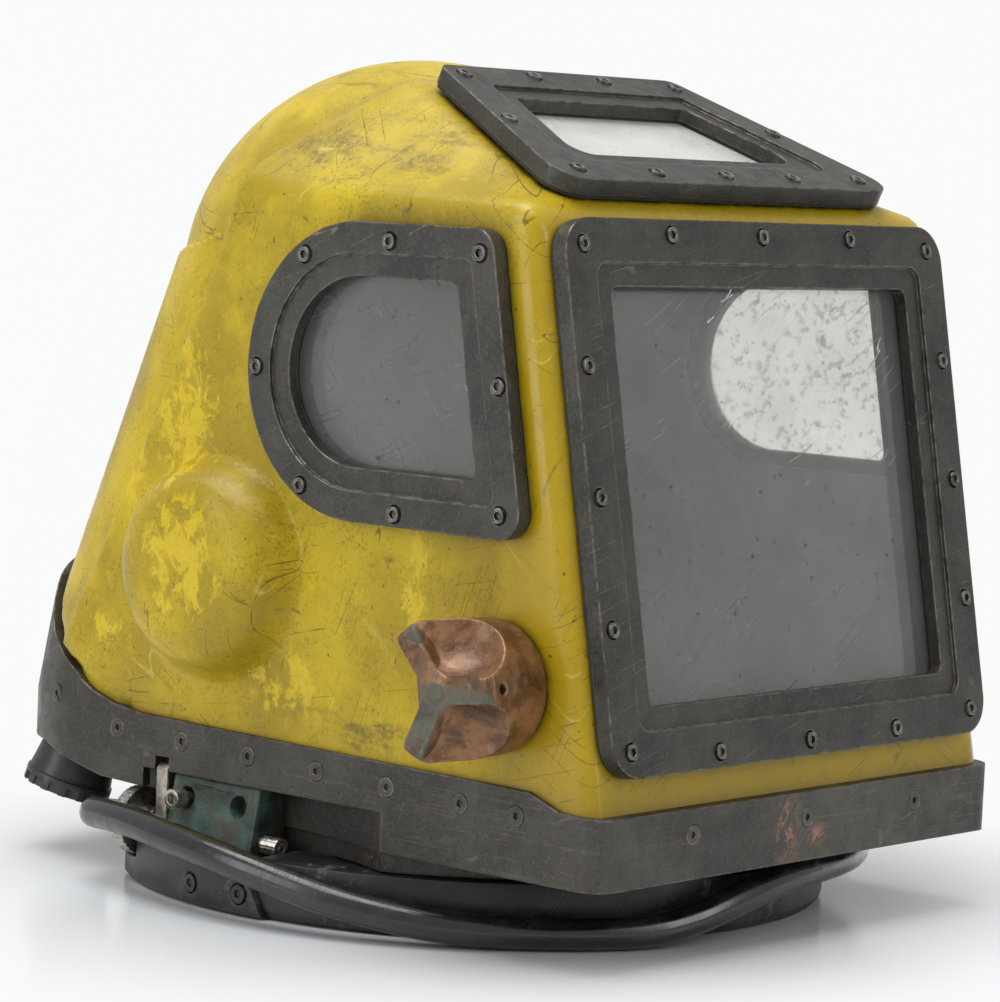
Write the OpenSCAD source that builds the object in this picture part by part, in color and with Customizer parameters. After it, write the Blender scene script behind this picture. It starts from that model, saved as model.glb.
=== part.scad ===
// Free-flow diving helmet: moulded shell with flat windows, bronze base band,
// removable neck ring, air control valve, exhaust valve and two side latches.
// Millimetres. Z is up, the front window faces -Y and the wearer's right is -X.
// The origin is the centre of the neck ring on its underside.

/* [Shell] */
// Half width of the shell between its flat sides
shell_half_w = 127; // [124:0.5:128]
// Wall thickness of the moulded shell
shell_wall = 6; // [5:0.5:7]
// Height of the shoulder where the flat sides end
shoulder_z = 285; // [281:1:288]
// Radius of the flat side's rear upper corner
side_corner_r = 120; // [110:1:125]
// Slope of the flat side's rear edge, from vertical
side_rear_slope = 26.6; // [25:0.1:28]
// Highest point of the crown
crown_z = 342; // [339:1:346]
// How far the ear domes stand out from the flat sides
ear_out = 21; // [17:1:24]
// Half height of an ear dome where it leaves the side
ear_half_h = 44; // [41:1:46]

/* [Windows] */
// Lean of the front window from vertical
front_lean = 10.5; // [8:0.5:13]
// Outside width of the front window frame
front_frame_w = 243; // [240:1:246]
// Outside height of the front window frame
front_frame_h = 211; // [206:1:214]
// Thickness of the front window frame
front_frame_t = 6.5; // [5.5:0.5:7.5]
// Tilt of the top window from horizontal
top_tilt = 23.6; // [22:0.2:25]
// Thickness of the top window frame
top_frame_t = 7; // [6:0.5:8]
// Thickness of a side window frame
side_frame_t = 6.5; // [5.5:0.5:7.5]
// Thickness of the window panes
pane_t = 6; // [5:0.5:7]
// Thickness of the sealing gaskets
gasket_t = 1.5; // [1:0.5:2]
// Head diameter of the frame screws
frame_head_d = 6; // [5.5:0.1:6.8]

/* [Base band] */
// Half width of the base band
band_half_w = 129; // [128.5:0.5:131]
// Thickness of the band's wall
band_wall = 5; // [4:0.5:5.5]
// Height of the band's lower edge at the front and sides
band_bottom_z = 32; // [30:0.5:34]
// Thickness of the band's web
web_t = 5.5; // [4.5:0.5:6.5]
// Foremost face of the band
band_front_y = -172; // [-174:0.5:-170]
// Rearmost face of the band
band_rear_y = 178; // [174:1:184]

/* [Neck] */
// Outside radius of the neck ring
ring_r = 146; // [144:0.5:148]
// Height of the neck ring
ring_h = 23.5; // [22:0.5:24.5]
// Radius of the neck opening
neck_r = 108; // [104:1:108]
// Outside radius of the collar that the ring seats against
collar_r = 143; // [140:0.5:144]

/* [Air valve] */
// Height of the air valve's axis
air_z = 104; // [102:0.5:107]
// Distance of the air valve's axis in front of the origin
air_front = 118; // [116:0.5:120]
// Radius of the control knob
knob_r = 26; // [24:0.5:27]
// Length of the control knob
knob_len = 36; // [33:1:38]
// Diameter of the valve spindle
spindle_d = 10; // [8:0.5:11]

/* [Exhaust valve] */
// Radius of the exhaust bonnet's rim
bonnet_r = 18.8; // [18:0.1:20.5]
// Height of the exhaust bonnet
bonnet_h = 19; // [17:0.5:20]
// Tilt of the exhaust valve from vertical
exhaust_tilt = 17; // [14:1:20]

/* [Latches] */
// Height of the lock shafts
lock_z = 24.5; // [24:0.1:25.5]
// Distance of a lock shaft from the helmet's middle
lock_x = 124; // [123:0.5:125]
// Diameter of a lock shaft
lock_d = 8; // [7:0.5:8.5]
// Diameter of a knurled knob
knurl_d = 28; // [25:0.5:29]
// Outside diameter of the hose loop
hose_d = 12.8; // [11:0.2:13.4]

/* [Hidden] */
$fn = 48;

fit_gap = 0.05;
part_gap = 0.3;
big = 1000;

// Colours of the pieces
yellow = [0.93, 0.76, 0.08];
bronze = [0.27, 0.26, 0.23];
dark_bronze = [0.20, 0.19, 0.17];
black = [0.07, 0.07, 0.08];
clear_grey = [0.55, 0.56, 0.54, 0.6];
steel = [0.62, 0.61, 0.58];
copper = [0.62, 0.36, 0.22];
patina = [0.25, 0.42, 0.34];

// Middle of the head space, where the shell's rays start
core = [0, 0, 165];

// Window planes: the outer frame faces and the shell seats behind them
front_n = [0, -cos(front_lean), sin(front_lean)];
front_mid = [0, -153.4, 177.8];
front_stack = front_frame_t + gasket_t;
front_seat = front_mid - front_stack * front_n;
top_n = [0, -sin(top_tilt), cos(top_tilt)];
top_edge = [0, -115.7, 299];
top_stack = top_frame_t + gasket_t;
top_seat = top_edge - top_stack * top_n;
side_stack = side_frame_t + gasket_t;

// Flat side's rear edge: a slope and a round corner that meets it and the shoulder
rear_n = [0, cos(side_rear_slope), sin(side_rear_slope)];
rear_offset = 154;
corner_z = shoulder_z - side_corner_r;
corner_y = (rear_offset - side_corner_r - corner_z * rear_n.z) / rear_n.y;

// Crown, and the rear's plan at two heights: corner circles joined by a wide arc
crown_r = 98;
crown_mid = [0, 46, crown_z - crown_r];
crown_axes = [104, crown_r, crown_r];
fore_mid = [0, 6, crown_z - crown_r];
fore_axes = [95, 96, crown_r - 10];
low_z = 119;
high_z = 271;
corner_low = [54, 95, 71];
corner_high = [22, 50, 80];
rear_arc_low = [0, -194, 365];
rear_arc_high = [0, -82, 214];
roof_blend = 22;
fore_blend = 15;
crown_from = 0.15;
crown_to = 0.42;
roof_rear_n = [0, 0.64, 0.768];
roof_rear_p = [0, -8, 337];
facet_n = [0.70, -0.085, 0.709];
facet_p = [106, -121, 290];
roof_mid = [0, -50, 200];
roof_axes = [300, 110, 170];

// Ear domes
ear_y = 35;
ear_z = 133;
ear_sink = 10;
ear_mid = [shell_half_w - ear_sink, ear_y, ear_z];
ear_bulge = 45;
ear_half_y = ear_half_h + 2;
ear_flare = sqrt(1 - pow(ear_sink / ear_bulge, 2));
ear_axes = [ear_bulge, ear_half_y / ear_flare, ear_half_h / ear_flare];
ear_shoulder = 10;

// Heights of the base
web_z = 47.5;
web_top = web_z + web_t;
shell_bottom = web_top + 0.2;
collar_bottom = ring_h + 0.5;
collar_step_z = band_bottom_z - 0.5;

// Plan of the base band
front_corner_r = 9;
rear_corner_r = 62;
rear_corner_y = 111.5;
rear_corner_x = band_half_w - rear_corner_r;
rear_u = band_rear_y - rear_corner_r;
rear_arc_y = (rear_u + rear_corner_y - pow(rear_corner_x, 2) / (rear_u - rear_corner_y)) / 2;
// Arcs that would only touch cross by this much, so that their seam is sound
seam = 0.05;
rear_arc_r = band_rear_y - rear_arc_y - seam;

// Air valve
air_y = -air_front;
air_seat_x = -shell_half_w;
knob_gap = 1;

// Exhaust valve: an axis that leaves the right rear corner, down and outwards
exhaust_foot = [-95.4, 141.6, 50];
exhaust_heading = 131;

// Latches
block_front_y = 4.5;
block_len = 49;
block_rear_y = block_front_y + block_len;
block_out_x = 127.6;
block_t = 15;
block_foot_x = 132.5;
block_top_z = web_z;
block_bottom_z = 19.3;
pocket_floor_z = 15.7;
pocket_in_x = block_out_x - block_t;
lever_y = block_rear_y + 3;
lever_t = 6.5;
knurl_y = 73.4;
knurl_t = 5.8;
shaft_end_y = knurl_y + knurl_t + 1.2;
ferrule_end_y = shaft_end_y + 1.1;
shaft_front_y = -5;
keeper_groove_r = lock_d / 2 + part_gap;
lock_flat = lock_d / 2 - 1.2;
tongue_in_x = lock_x - 6.8;
tongue_out_x = lock_x - lock_flat - part_gap;
tongue_top_z = 33;
keeper_r = ring_r + 3;
screw_hole_z = 38.5;
screw_hole_y = [15.4, 45];
block_head_sink = 6.2;
block_head_d = 8.2;
block_shank_d = 5;
collar_thread = 3.2;

// Fineness of the moulded surface
shell_around = 96;
shell_rows = 36;

// Surface of the shell
function plane_r(d, n, p) = let (s = d * n) s > 0.001 ? (p - core) * n / s : big;
function soft_min(a, b, k) = let (h = max(k - abs(a - b), 0) / k) min(a, b) - h * h * k / 4;
function soft_max(a, b, k) = -soft_min(-a, -b, k);
function over(v, w) = [v.x / w.x, v.y / w.y, v.z / w.z];
function egg_r(d, mid, axes) =
    let (o = over(core - mid, axes), e = over(d, axes))
    let (a = e * e, b = o * e, c = o * o - 1, disc = b * b - a * c)
    disc > 0 ? (sqrt(disc) - b) / a : 0;
function corner_hit(d, r) =
    let (o = [core.y - corner_y, core.z - corner_z], e = [d.y, d.z])
    let (a = max(e * e, 0.000001), b = o * e, c = o * o - r * r)
    (sqrt(max(b * b - a * c, 0)) - b) / a;
function side_body_r(d, t) =
    let (flat = min(plane_r(d, [0, 0, 1], [0, 0, shoulder_z - t]),
                    plane_r(d, rear_n, rear_n * (rear_offset - t))))
    let (hit = corner_hit(d, side_corner_r - t))
    let (at = atan2(core.z + hit * d.z - corner_z, core.y + hit * d.y - corner_y))
    (at > side_rear_slope && at < 90) ? min(hit, big) : flat;
function roof_r(d, t) =
    let (lid = plane_r(d, top_n, top_seat - t * top_n))
    let (back = plane_r(d, roof_rear_n, roof_rear_p - t * roof_rear_n))
    let (facet = plane_r(d, facet_n, facet_p - t * facet_n))
    min(soft_min(soft_min(lid, facet, 8), back, 20), egg_r(d, roof_mid, roof_axes));
function inset(axes, t) = [axes.x - t, axes.y - t, axes.z - t];
// A leaning cone, given as a circle [x, y, radius] at two heights
function at_height(low, high, z) = low + (high - low) * (z - low_z) / (high_z - low_z);
function cone_r(d, low, high, t) =
    let (c = at_height(low, high, core.z), g = (high - low) / (high_z - low_z))
    let (o = [core.x - c.x, core.y - c.y], e = [d.x - g.x * d.z, d.y - g.y * d.z])
    let (ra = c.z - t, rb = g.z * d.z)
    let (a = e * e - rb * rb, b = o * e - ra * rb, k = o * o - ra * ra, disc = b * b - a * k)
    (disc > 0 && a > 0.0001) ? max((sqrt(disc) - b) / a, 0) : 0;
function rear_r(d, t) =
    let (wide = cone_r(d, rear_arc_low, rear_arc_high, t), hit = core + wide * d)
    let (arc = at_height(rear_arc_low, rear_arc_high, hit.z))
    let (corner = at_height(corner_low, corner_high, hit.z))
    let (behind = hit.y - arc.y, on_arc = hit.x * (corner.y - arc.y) < corner.x * behind)
    (behind > 0 && d.y > 0 && on_arc) ? wide : cone_r(d, corner_low, corner_high, t);
function crown_r_at(d, t) =
    let (dome = egg_r(d, crown_mid, inset(crown_axes, t)))
    let (rise = (core.z + dome * d.z - crown_mid.z) / (crown_axes.z - t))
    let (w = min(max((rise - crown_from) / (crown_to - crown_from), 0), 1))
    let (blend = w * w * (3 - 2 * w))
    max(dome, dome * blend + rear_r(d, t) * (1 - blend));
function body_r(d, t) =
    let (low = soft_max(side_body_r(d, t), crown_r_at(d, t), 10))
    let (fore = egg_r(d, fore_mid, inset(fore_axes, t)))
    soft_max(soft_max(roof_r(d, t), low, roof_blend), fore, fore_blend);
function shell_r(v, t) =
    let (d = [abs(v.x), v.y, v.z])
    let (side = plane_r(d, [1, 0, 0], [shell_half_w - t, 0, 0]))
    let (front = plane_r(d, front_n, front_seat - t * front_n))
    let (lid = plane_r(d, top_n, top_seat - t * top_n))
    let (box = soft_min(soft_min(soft_min(body_r(d, t), side, 9), lid, 8), front, 16))
    let (cap = plane_r(d, [1, 0, 0], [shell_half_w + ear_out - t, 0, 0]))
    soft_max(box, soft_min(egg_r(d, ear_mid, inset(ear_axes, t)), cap, ear_shoulder), 10);

// Closed surface through the points that the formula gives for a grid of directions
module shell_form(t, around, rows, low_angle) {
    rise = (90 - low_angle) / rows;
    ring_points = [for (j = [0 : rows - 1], i = [0 : around - 1])
        let (el = low_angle + j * rise, az = i * 360 / around)
        let (d = [cos(el) * cos(az), cos(el) * sin(az), sin(el)])
        core + shell_r(d, t) * d];
    top_i = around * rows;
    points = concat(ring_points, [core + shell_r([0, 0, 1], t) * [0, 0, 1]],
                    [[0, 0, ring_points[0].z - 1]]);
    walls = [for (j = [0 : rows - 2], i = [0 : around - 1])
        let (a = j * around + i, b = j * around + (i + 1) % around)
        each [[a, b + around, b], [a, a + around, b + around]]];
    crown_faces = [for (i = [0 : around - 1])
        [(rows - 1) * around + i, top_i, (rows - 1) * around + (i + 1) % around]];
    floor_faces = [for (i = [0 : around - 1]) [(i + 1) % around, top_i + 1, i]];
    polyhedron(points, concat(walls, crown_faces, floor_faces), convexity = 6);
}

// Rounded outlines made of squares and circles, so that they stay true
module round_rect(w, h, r) {
    square([w - 2 * r, h], center = true);
    square([w, h - 2 * r], center = true);
    for (x = [-1, 1], y = [-1, 1]) {
        translate([x * (w / 2 - r), y * (h / 2 - r)])
            circle(r);
    }
}

// Plan of the band, drawn inwards by a margin
module band_plan(inwards) {
    w = band_half_w - inwards;
    translate([-w, band_front_y + front_corner_r])
        square([2 * w, rear_corner_y - band_front_y - front_corner_r]);
    difference() {
        union() {
            translate([-band_half_w + front_corner_r, band_front_y + inwards])
                square([2 * (band_half_w - front_corner_r), front_corner_r + 1 - inwards]);
            for (x = [-1, 1]) {
                translate([x * (band_half_w - front_corner_r), band_front_y + front_corner_r])
                    circle(front_corner_r - inwards);
            }
        }
        translate([-band_half_w, band_front_y + front_corner_r + 0.5])
            square([2 * band_half_w, 40]);
    }
    for (x = [-1, 1]) {
        translate([x * rear_corner_x, rear_corner_y])
            circle(rear_corner_r - inwards, $fn = 96);
    }
    intersection() {
        translate([0, rear_arc_y])
            circle(rear_arc_r - inwards, $fn = 240);
        rear_sector();
    }
}

// The plan's part between lines from the wide arc's centre to the corners'
sector_y = 40;
sector_x = rear_corner_x * (sector_y - rear_arc_y) / (rear_corner_y - rear_arc_y);
module rear_sector() {
    far = 2 * [rear_corner_x, rear_corner_y] - [0, rear_arc_y];
    polygon([[-sector_x, sector_y], [sector_x, sector_y], far, [-far.x, far.y]]);
}

// The band's tall rear leans inwards above its sides
lean_z = 70;
lean_h = 70;
band_lean = 0.15;
module band_solid(inwards) {
    translate([0, 0, band_bottom_z])
        linear_extrude(lean_z - band_bottom_z)
            band_plan(inwards);
    shrink = band_lean * lean_h;
    translate([0, 0, lean_z - 0.01]) {
        linear_extrude(lean_h)
            translate([-band_half_w + inwards, band_front_y + 10])
                square([2 * (band_half_w - inwards), rear_corner_y - band_front_y - 10]);
        for (x = [-1, 1]) {
            translate([x * rear_corner_x, rear_corner_y, 0])
                cylinder(h = lean_h, r1 = rear_corner_r - inwards,
                         r2 = rear_corner_r - inwards - shrink, $fn = 96);
        }
        intersection() {
            translate([0, rear_arc_y, 0])
                cylinder(h = lean_h, r1 = rear_arc_r - inwards,
                         r2 = rear_arc_r - inwards - shrink, $fn = 240);
            linear_extrude(lean_h)
                rear_sector();
        }
    }
}

// Outline, seen from the side, of all that lies above the band's upper edge
band_edge = [[-174, 59.5], [-152, 60.5], [-137, 66], [75, 69.5], [90, 71.6], [102, 75.2],
             [112, 80.4], [121, 85], [129, 89.8], [138, 95.5], [145, 102], [151, 110],
             [156, 117], [162, 122.5], [200, 126]];
module above_band(lift) {
    translate([band_half_w + 20, 0, 0])
        rotate([90, 0, -90])
            linear_extrude(2 * band_half_w + 40)
                polygon(concat([for (p = band_edge) [-p.x, p.y + lift]],
                               [[-200, 220], [190, 220], [190, band_edge[0].y + lift]]));
}

// Outline, seen from the side, of all that lies below the band's lower edge
scallop_r = 235;
scallop_depth = 15;
scallop_y = 20;
scallop_end_y = 62;
scallop_face = band_half_w - scallop_depth;
module latch_scallop(depth, top_z) {
    for (side = [-1, 1]) {
        translate([0, 0, -1]) {
            difference() {
                translate([side * (band_half_w - depth + scallop_r), scallop_y, 0])
                    cylinder(h = top_z + 1, r = scallop_r, $fn = 360);
                translate([-300, scallop_end_y, -1])
                    cube([600, 300, top_z + 4]);
            }
            translate([side * (band_half_w - depth + 12), scallop_end_y - 1, 0])
                cylinder(h = top_z + 1, r = 10, $fn = 48);
        }
    }
}
module below_band() {
    translate([band_half_w + 20, 0, 0])
        rotate([90, 0, -90])
            linear_extrude(2 * band_half_w + 40)
                polygon([[-62, 0], [-62, 39.2], [-96, 40.5], [-112, 44], [-136, 50], [-190, 50],
                         [-190, 0]]);
}

// Frames: places of the screws in each frame's own plane
function front_spots() =
    let (u = 115.0, v = 99.4, inn = 4.06)
    concat([for (x = [-57.7, 0, 57.7], s = [-1, 1]) [x, s * v]],
           [for (y = [-49.5, 0, 49.5], s = [-1, 1]) [s * u, y]],
           [for (sx = [-1, 1], sy = [-1, 1]) [sx * (u - inn), sy * (v - inn)]]);
function top_spots() =
    concat([for (x = [0, 43.9, -43.9]) [x, 0]], [for (x = [90.3, -90.3]) [x, 1.4]],
           [for (x = [22.2, -22.2]) [x, 91.6]], [for (x = [67.1, -67.1]) [x, 89.5]],
           [for (x = [84.3, -84.3]) [x, 46]]);
function side_spots() = [[-15.2, 261.4], [-59.8, 268.5], [-106.1, 266.2], [-118.1, 216.9],
    [-121.2, 168.8], [-68, 164.4], [-17.5, 171.3], [8.8, 216.1]];

// Frames are drawn flat with their outer face at z = 0, then set in place
module on_front() {
    translate(front_mid)
        rotate([90 - front_lean, 0, 0])
            children();
}
module on_top() {
    translate(top_edge)
        rotate([top_tilt, 0, 0])
            children();
}
// Side drawings use the helmet's own y and z
module on_side(side) {
    x = shell_half_w + side_stack;
    if (side < 0)
        translate([-x, 0, 0])
            rotate([90, 0, -90])
                mirror([1, 0, 0])
                    children();
    else
        mirror([1, 0, 0])
            translate([-x, 0, 0])
                rotate([90, 0, -90])
                    mirror([1, 0, 0])
                        children();
}

module front_outline(inwards, r) {
    round_rect(front_frame_w - 2 * inwards, front_frame_h - 2 * inwards, r);
}

// Trapezoid of the top window with round corners, rounder at the front
top_front_half = 109.2;
top_back_half = 73.4;
top_front_extra_r = 5;
top_front_v = -8.3;
top_back_v = 98.3;
module top_outline(inwards, r) {
    slope = atan2(top_front_half - top_back_half, top_back_v - top_front_v);
    front_r = r + top_front_extra_r;
    front_in = inwards + front_r;
    back_in = inwards + r;
    x_front = top_front_half - front_in * (1 + sin(slope)) / cos(slope);
    x_back = top_back_half - back_in * (1 - sin(slope)) / cos(slope);
    v0 = top_front_v + front_in;
    v1 = top_back_v - back_in;
    side_n = [cos(slope), sin(slope)];
    half = [[0, v0 - front_r + seam], [x_front, v0 - front_r + seam],
            [x_front, v0] + (front_r - seam) * side_n, [x_back, v1] + (r - seam) * side_n,
            [x_back, v1 + r - seam], [0, v1 + r - seam]];
    for (x = [-1, 1]) {
        translate([x * x_front, v0])
            circle(front_r);
        translate([x * x_back, v1])
            circle(r);
    }
    polygon(concat(half, [for (i = [len(half) - 2 : -1 : 1]) [-half[i].x, half[i].y]]));
}

// D shape of the side windows: straight top, bottom and leaning front, round rear
side_top_v = 275.5;
side_bottom_v = 159.5;
side_mid_v = (side_top_v + side_bottom_v) / 2;
side_rear_y = 13.5;
side_rear_r = (side_top_v - side_bottom_v) / 2;
function side_front_y(z) = -131.2 + (z - 168.2) * tan(front_lean);
module side_outline(inwards, r) {
    bow = side_rear_r - inwards;
    top_v = side_top_v - inwards;
    low_v = side_bottom_v + inwards;
    mid_y = side_rear_y - side_rear_r;
    lean_out = inwards / cos(front_lean);
    top_y = side_front_y(top_v - r) + lean_out + r / cos(front_lean);
    low_y = side_front_y(low_v + r) + lean_out + r / cos(front_lean);
    lean_n = [-cos(front_lean), sin(front_lean)];
    translate([mid_y, side_mid_v])
        circle(bow, $fn = 96);
    for (c = [[top_y, top_v - r], [low_y, low_v + r]]) {
        translate(c)
            circle(r);
    }
    polygon([[mid_y, top_v], [top_y, top_v], [top_y, top_v - r] + r * lean_n,
             [low_y, low_v + r] + r * lean_n, [low_y, low_v], [mid_y, low_v]]);
}

// A frame: flat rim, a shallow dished step, and the opening
module window_frame(kind, t, lip, rim, spots, corner) {
    difference() {
        translate([0, 0, -t])
            linear_extrude(t)
                window_outline(kind, 0, corner);
        translate([0, 0, -1.6])
            linear_extrude(3)
                window_outline(kind, rim, max(corner - rim / 2, 3));
        translate([0, 0, -t - 1])
            linear_extrude(t + 2)
                window_outline(kind, lip, max(corner - lip / 2, 4));
        for (s = spots) {
            translate([s.x, s.y, -frame_head_sink])
                cylinder(h = 3, d = frame_head_d + 1.4, $fn = 24);
            translate([s.x, s.y, -t - 1])
                cylinder(h = t + 2, d = frame_shank_d + 2 * part_gap, $fn = 24);
        }
    }
}
module window_outline(kind, inwards, r) {
    if (kind == 0) front_outline(inwards, r);
    if (kind == 1) top_outline(inwards, r);
    if (kind == 2) side_outline(inwards, r);
}
frame_shank_d = 3.5;
frame_head_h = 3.4;
frame_head_sink = 2.2;
frame_shank_in = 4;

// Pane in the shell's rebate, held by the frame through the gasket
pane_cover = 6;
opening_step = 1;
module window_pane(kind, t, lip, corner) {
    translate([0, 0, -t - gasket_t - pane_t])
        linear_extrude(pane_t)
            window_outline(kind, lip - pane_cover, max(corner - lip / 2 + 2, 4));
}
module window_gasket(kind, t, lip, corner, spots) {
    translate([0, 0, -t - gasket_t])
        difference() {
            linear_extrude(gasket_t)
                window_outline(kind, 0.6, corner - 0.6);
            translate([0, 0, -1])
                linear_extrude(gasket_t + 2)
                    window_outline(kind, lip - 0.5, max(corner - lip / 2, 4));
            for (s = spots) {
                translate([s.x, s.y, -1])
                    cylinder(h = gasket_t + 2, d = frame_shank_d + 2 * part_gap, $fn = 24);
            }
        }
}
module window_screws(t, spots) {
    for (s = spots) {
        translate([s.x, s.y, 0]) {
            difference() {
                translate([0, 0, -frame_head_sink])
                    cylinder(h = frame_head_h, d = frame_head_d, $fn = 24);
                translate([0, 0, -0.8])
                    cylinder(h = 3, d = frame_head_d / 2 * 1.15, $fn = 6);
            }
            translate([0, 0, -t - gasket_t - frame_shank_in])
                cylinder(h = t + gasket_t + frame_shank_in - frame_head_sink, d = frame_shank_d,
                         $fn = 24);
        }
    }
}
// What a window cuts from the shell: pane rebate, opening and screw holes
module window_cut(kind, t, lip, corner, spots) {
    translate([0, 0, -t - gasket_t - pane_t - part_gap])
        linear_extrude(pane_t + part_gap + 2)
            window_outline(kind, lip - pane_cover - part_gap, max(corner - lip / 2 + 2, 4));
    translate([0, 0, -t - gasket_t - 34])
        linear_extrude(40)
            window_outline(kind, lip + opening_step, max(corner - lip / 2, 4));
    for (s = spots) {
        translate([s.x, s.y, -t - gasket_t - frame_shank_in - part_gap])
            cylinder(h = 12, d = frame_shank_d + 2 * fit_gap, $fn = 12);
    }
}
// Land inside the shell round a window, for the pane and the screws
module window_land(kind, t, corner) {
    translate([0, 0, -t - gasket_t - 12])
        linear_extrude(11.9)
            window_outline(kind, 1, corner);
}

front_lip = 26;
front_rim = 17;
front_corner = 15;
top_lip = 27;
top_rim = 18;
top_corner = 7;
side_lip = 21;
side_rim = 12;
side_corner = 10;

module shell() {
    color(yellow)
        difference() {
            shell_form(0, shell_around, shell_rows, -48);
            difference() {
                shell_form(shell_wall, 48, 18, -50);
                intersection() {
                    union() {
                        on_front() window_land(0, front_frame_t, front_corner);
                        on_top() window_land(1, top_frame_t, top_corner);
                        on_side(-1) window_land(2, side_frame_t, side_corner);
                        on_side(1) window_land(2, side_frame_t, side_corner);
                    }
                    shell_form(shell_wall - 0.5, 48, 18, -50);
                }
            }
            translate([-300, -300, shell_bottom - 300])
                cube([600, 600, 300]);
            on_front() window_cut(0, front_frame_t, front_lip, front_corner, front_spots());
            on_top() window_cut(1, top_frame_t, top_lip, top_corner, top_spots());
            on_side(-1) window_cut(2, side_frame_t, side_lip, side_corner, side_spots());
            on_side(1) window_cut(2, side_frame_t, side_lip, side_corner, side_spots());
            // rebate that lets the skirt in behind the band
            difference() {
                translate([-300, -300, shell_bottom - 1])
                    cube([600, 600, 110]);
                band_solid(band_wall + 0.2);
                above_band(0.2);
            }
            exhaust_place()
                translate([0, 0, -10])
                    cylinder(h = 32, r = exhaust_lug_r - 1.5, $fn = 64);
            band_screw_places()
                translate([0, 0, -band_screw_len - 0.2])
                    cylinder(h = band_screw_len, d = band_shank_d + 0.2, $fn = 24);
            // hole for the air valve body
            translate([air_seat_x - 20, air_y, air_z])
                rotate([0, 90, 0])
                    cylinder(h = 60, d = body_thread_d + 2 * part_gap, $fn = 32);
            // round seat that the valve body needs in the corner inside
            translate([air_seat_x + shell_wall, air_y, air_z])
                rotate([0, 90, 0])
                    cylinder(h = 12, d = valve_flange_d + 2, $fn = 48);
            // hole for the air inlet, with a flat seat for its nut
            translate([0, inlet_y + 30, inlet_z])
                rotate([90, 0, 0])
                    cylinder(h = 120, d = inlet_d + 2 * part_gap, $fn = 32);
            translate([0, inlet_wall_y, inlet_z])
                rotate([90, 0, 0])
                    cylinder(h = 60, r = 20, $fn = 32);
        }
}

module base_band() {
    color(bronze)
        difference() {
            union() {
                difference() {
                    union() {
                        band_solid(0);
                        // boss that carries the air inlet
                        translate([0, inlet_y, inlet_z])
                            rotate([90, 0, 0])
                                cylinder(h = 16, r = 21, $fn = 64);
                    }
                    translate([0, 0, -0.01])
                        band_solid(band_wall);
                }
                translate([0, 0, web_z])
                    linear_extrude(web_t)
                        band_plan(band_wall - 1);
                exhaust_place()
                    translate([0, 0, -7])
                        cylinder(h = 20, r = exhaust_lug_r, $fn = 64);
            }
            above_band(0);
            below_band();
            translate([0, 0, web_z - 30])
                cylinder(h = 60, r = neck_r, $fn = 128);
            translate([0, 0, band_bottom_z - 10])
                cylinder(h = web_z - band_bottom_z + 10, r = collar_r + part_gap, $fn = 192);
            latch_scallop(scallop_depth, web_z + 0.1);
            for (side = [-1, 1]) {
                // notch over each thumb lever
                translate([side > 0 ? scallop_face : -scallop_face - 40, lever_y - 0.8,
                           web_z - 10])
                    cube([40, lever_t + 1.6, 10 + web_t + 0.2]);
            }
            translate([0, inlet_y, inlet_z])
                rotate([90, 0, 0])
                    cylinder(h = 60, d = inlet_d + 2 * part_gap, $fn = 64, center = true);
            exhaust_place()
                translate([0, 0, -30])
                    cylinder(h = 80, d = exhaust_bore_d, $fn = 64);
            band_screw_places()
                band_screw_hole();
            collar_screw_places()
                translate([0, 0, web_z - 1])
                    cylinder(h = web_t + 2, d = collar_shank_d + 2 * part_gap, $fn = 24);
        }
}

// Countersunk screws through the band: along both sides and across the front
band_head_d = 8.2;
band_shank_d = 4;
band_screw_len = 7;
band_side_y = [-131, -102.5, -64.6, -26.6, 11.2, 49, 86.8];
function band_screw_z(y) = 59.5 + 0.026 * y;
module band_screw_places() {
    for (side = [-1, 1]) {
        for (y = band_side_y) {
            translate([side * band_half_w, y, band_screw_z(y)])
                rotate([0, side * 90, 0])
                    children();
        }
        translate([side * rear_corner_x, rear_corner_y, 71])
            rotate([0, 0, side > 0 ? 14 : 166])
                translate([rear_corner_r - band_lean, 0, 0])
                    rotate([0, 90, 0])
                        children();
    }
    for (x = [-72.6, 0, 72.6]) {
        translate([x, band_front_y, 49.3])
            rotate([90, 0, 0])
                children();
    }
}
module band_screw_hole() {
    translate([0, 0, -2.6])
        cylinder(h = 2.7, d1 = 4.6, d2 = band_head_d + 0.5, $fn = 32);
    translate([0, 0, -8])
        cylinder(h = 9, d = band_shank_d + 0.2, $fn = 32);
}
module band_screws() {
    color(dark_bronze)
        band_screw_places() {
            difference() {
                union() {
                    translate([0, 0, -2.5])
                        cylinder(h = 2.5, d1 = band_shank_d, d2 = band_head_d, $fn = 32);
                    translate([0, 0, -band_screw_len])
                        cylinder(h = band_screw_len - 2, d = band_shank_d, $fn = 32);
                }
                translate([0, 0, -1.4])
                    cylinder(h = 2, d = 3, $fn = 6);
            }
        }
}

// Collar: the machined seat for the neck ring, with a flat pocket for each latch
collar_screw_r = 125;
collar_shank_d = 5;
module collar_screw_places() {
    for (a = [-150, -120, -90, -60, -30, 60, 90, 120]) {
        rotate([0, 0, a])
            translate([collar_screw_r, 0, 0])
                children();
    }
}
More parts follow.
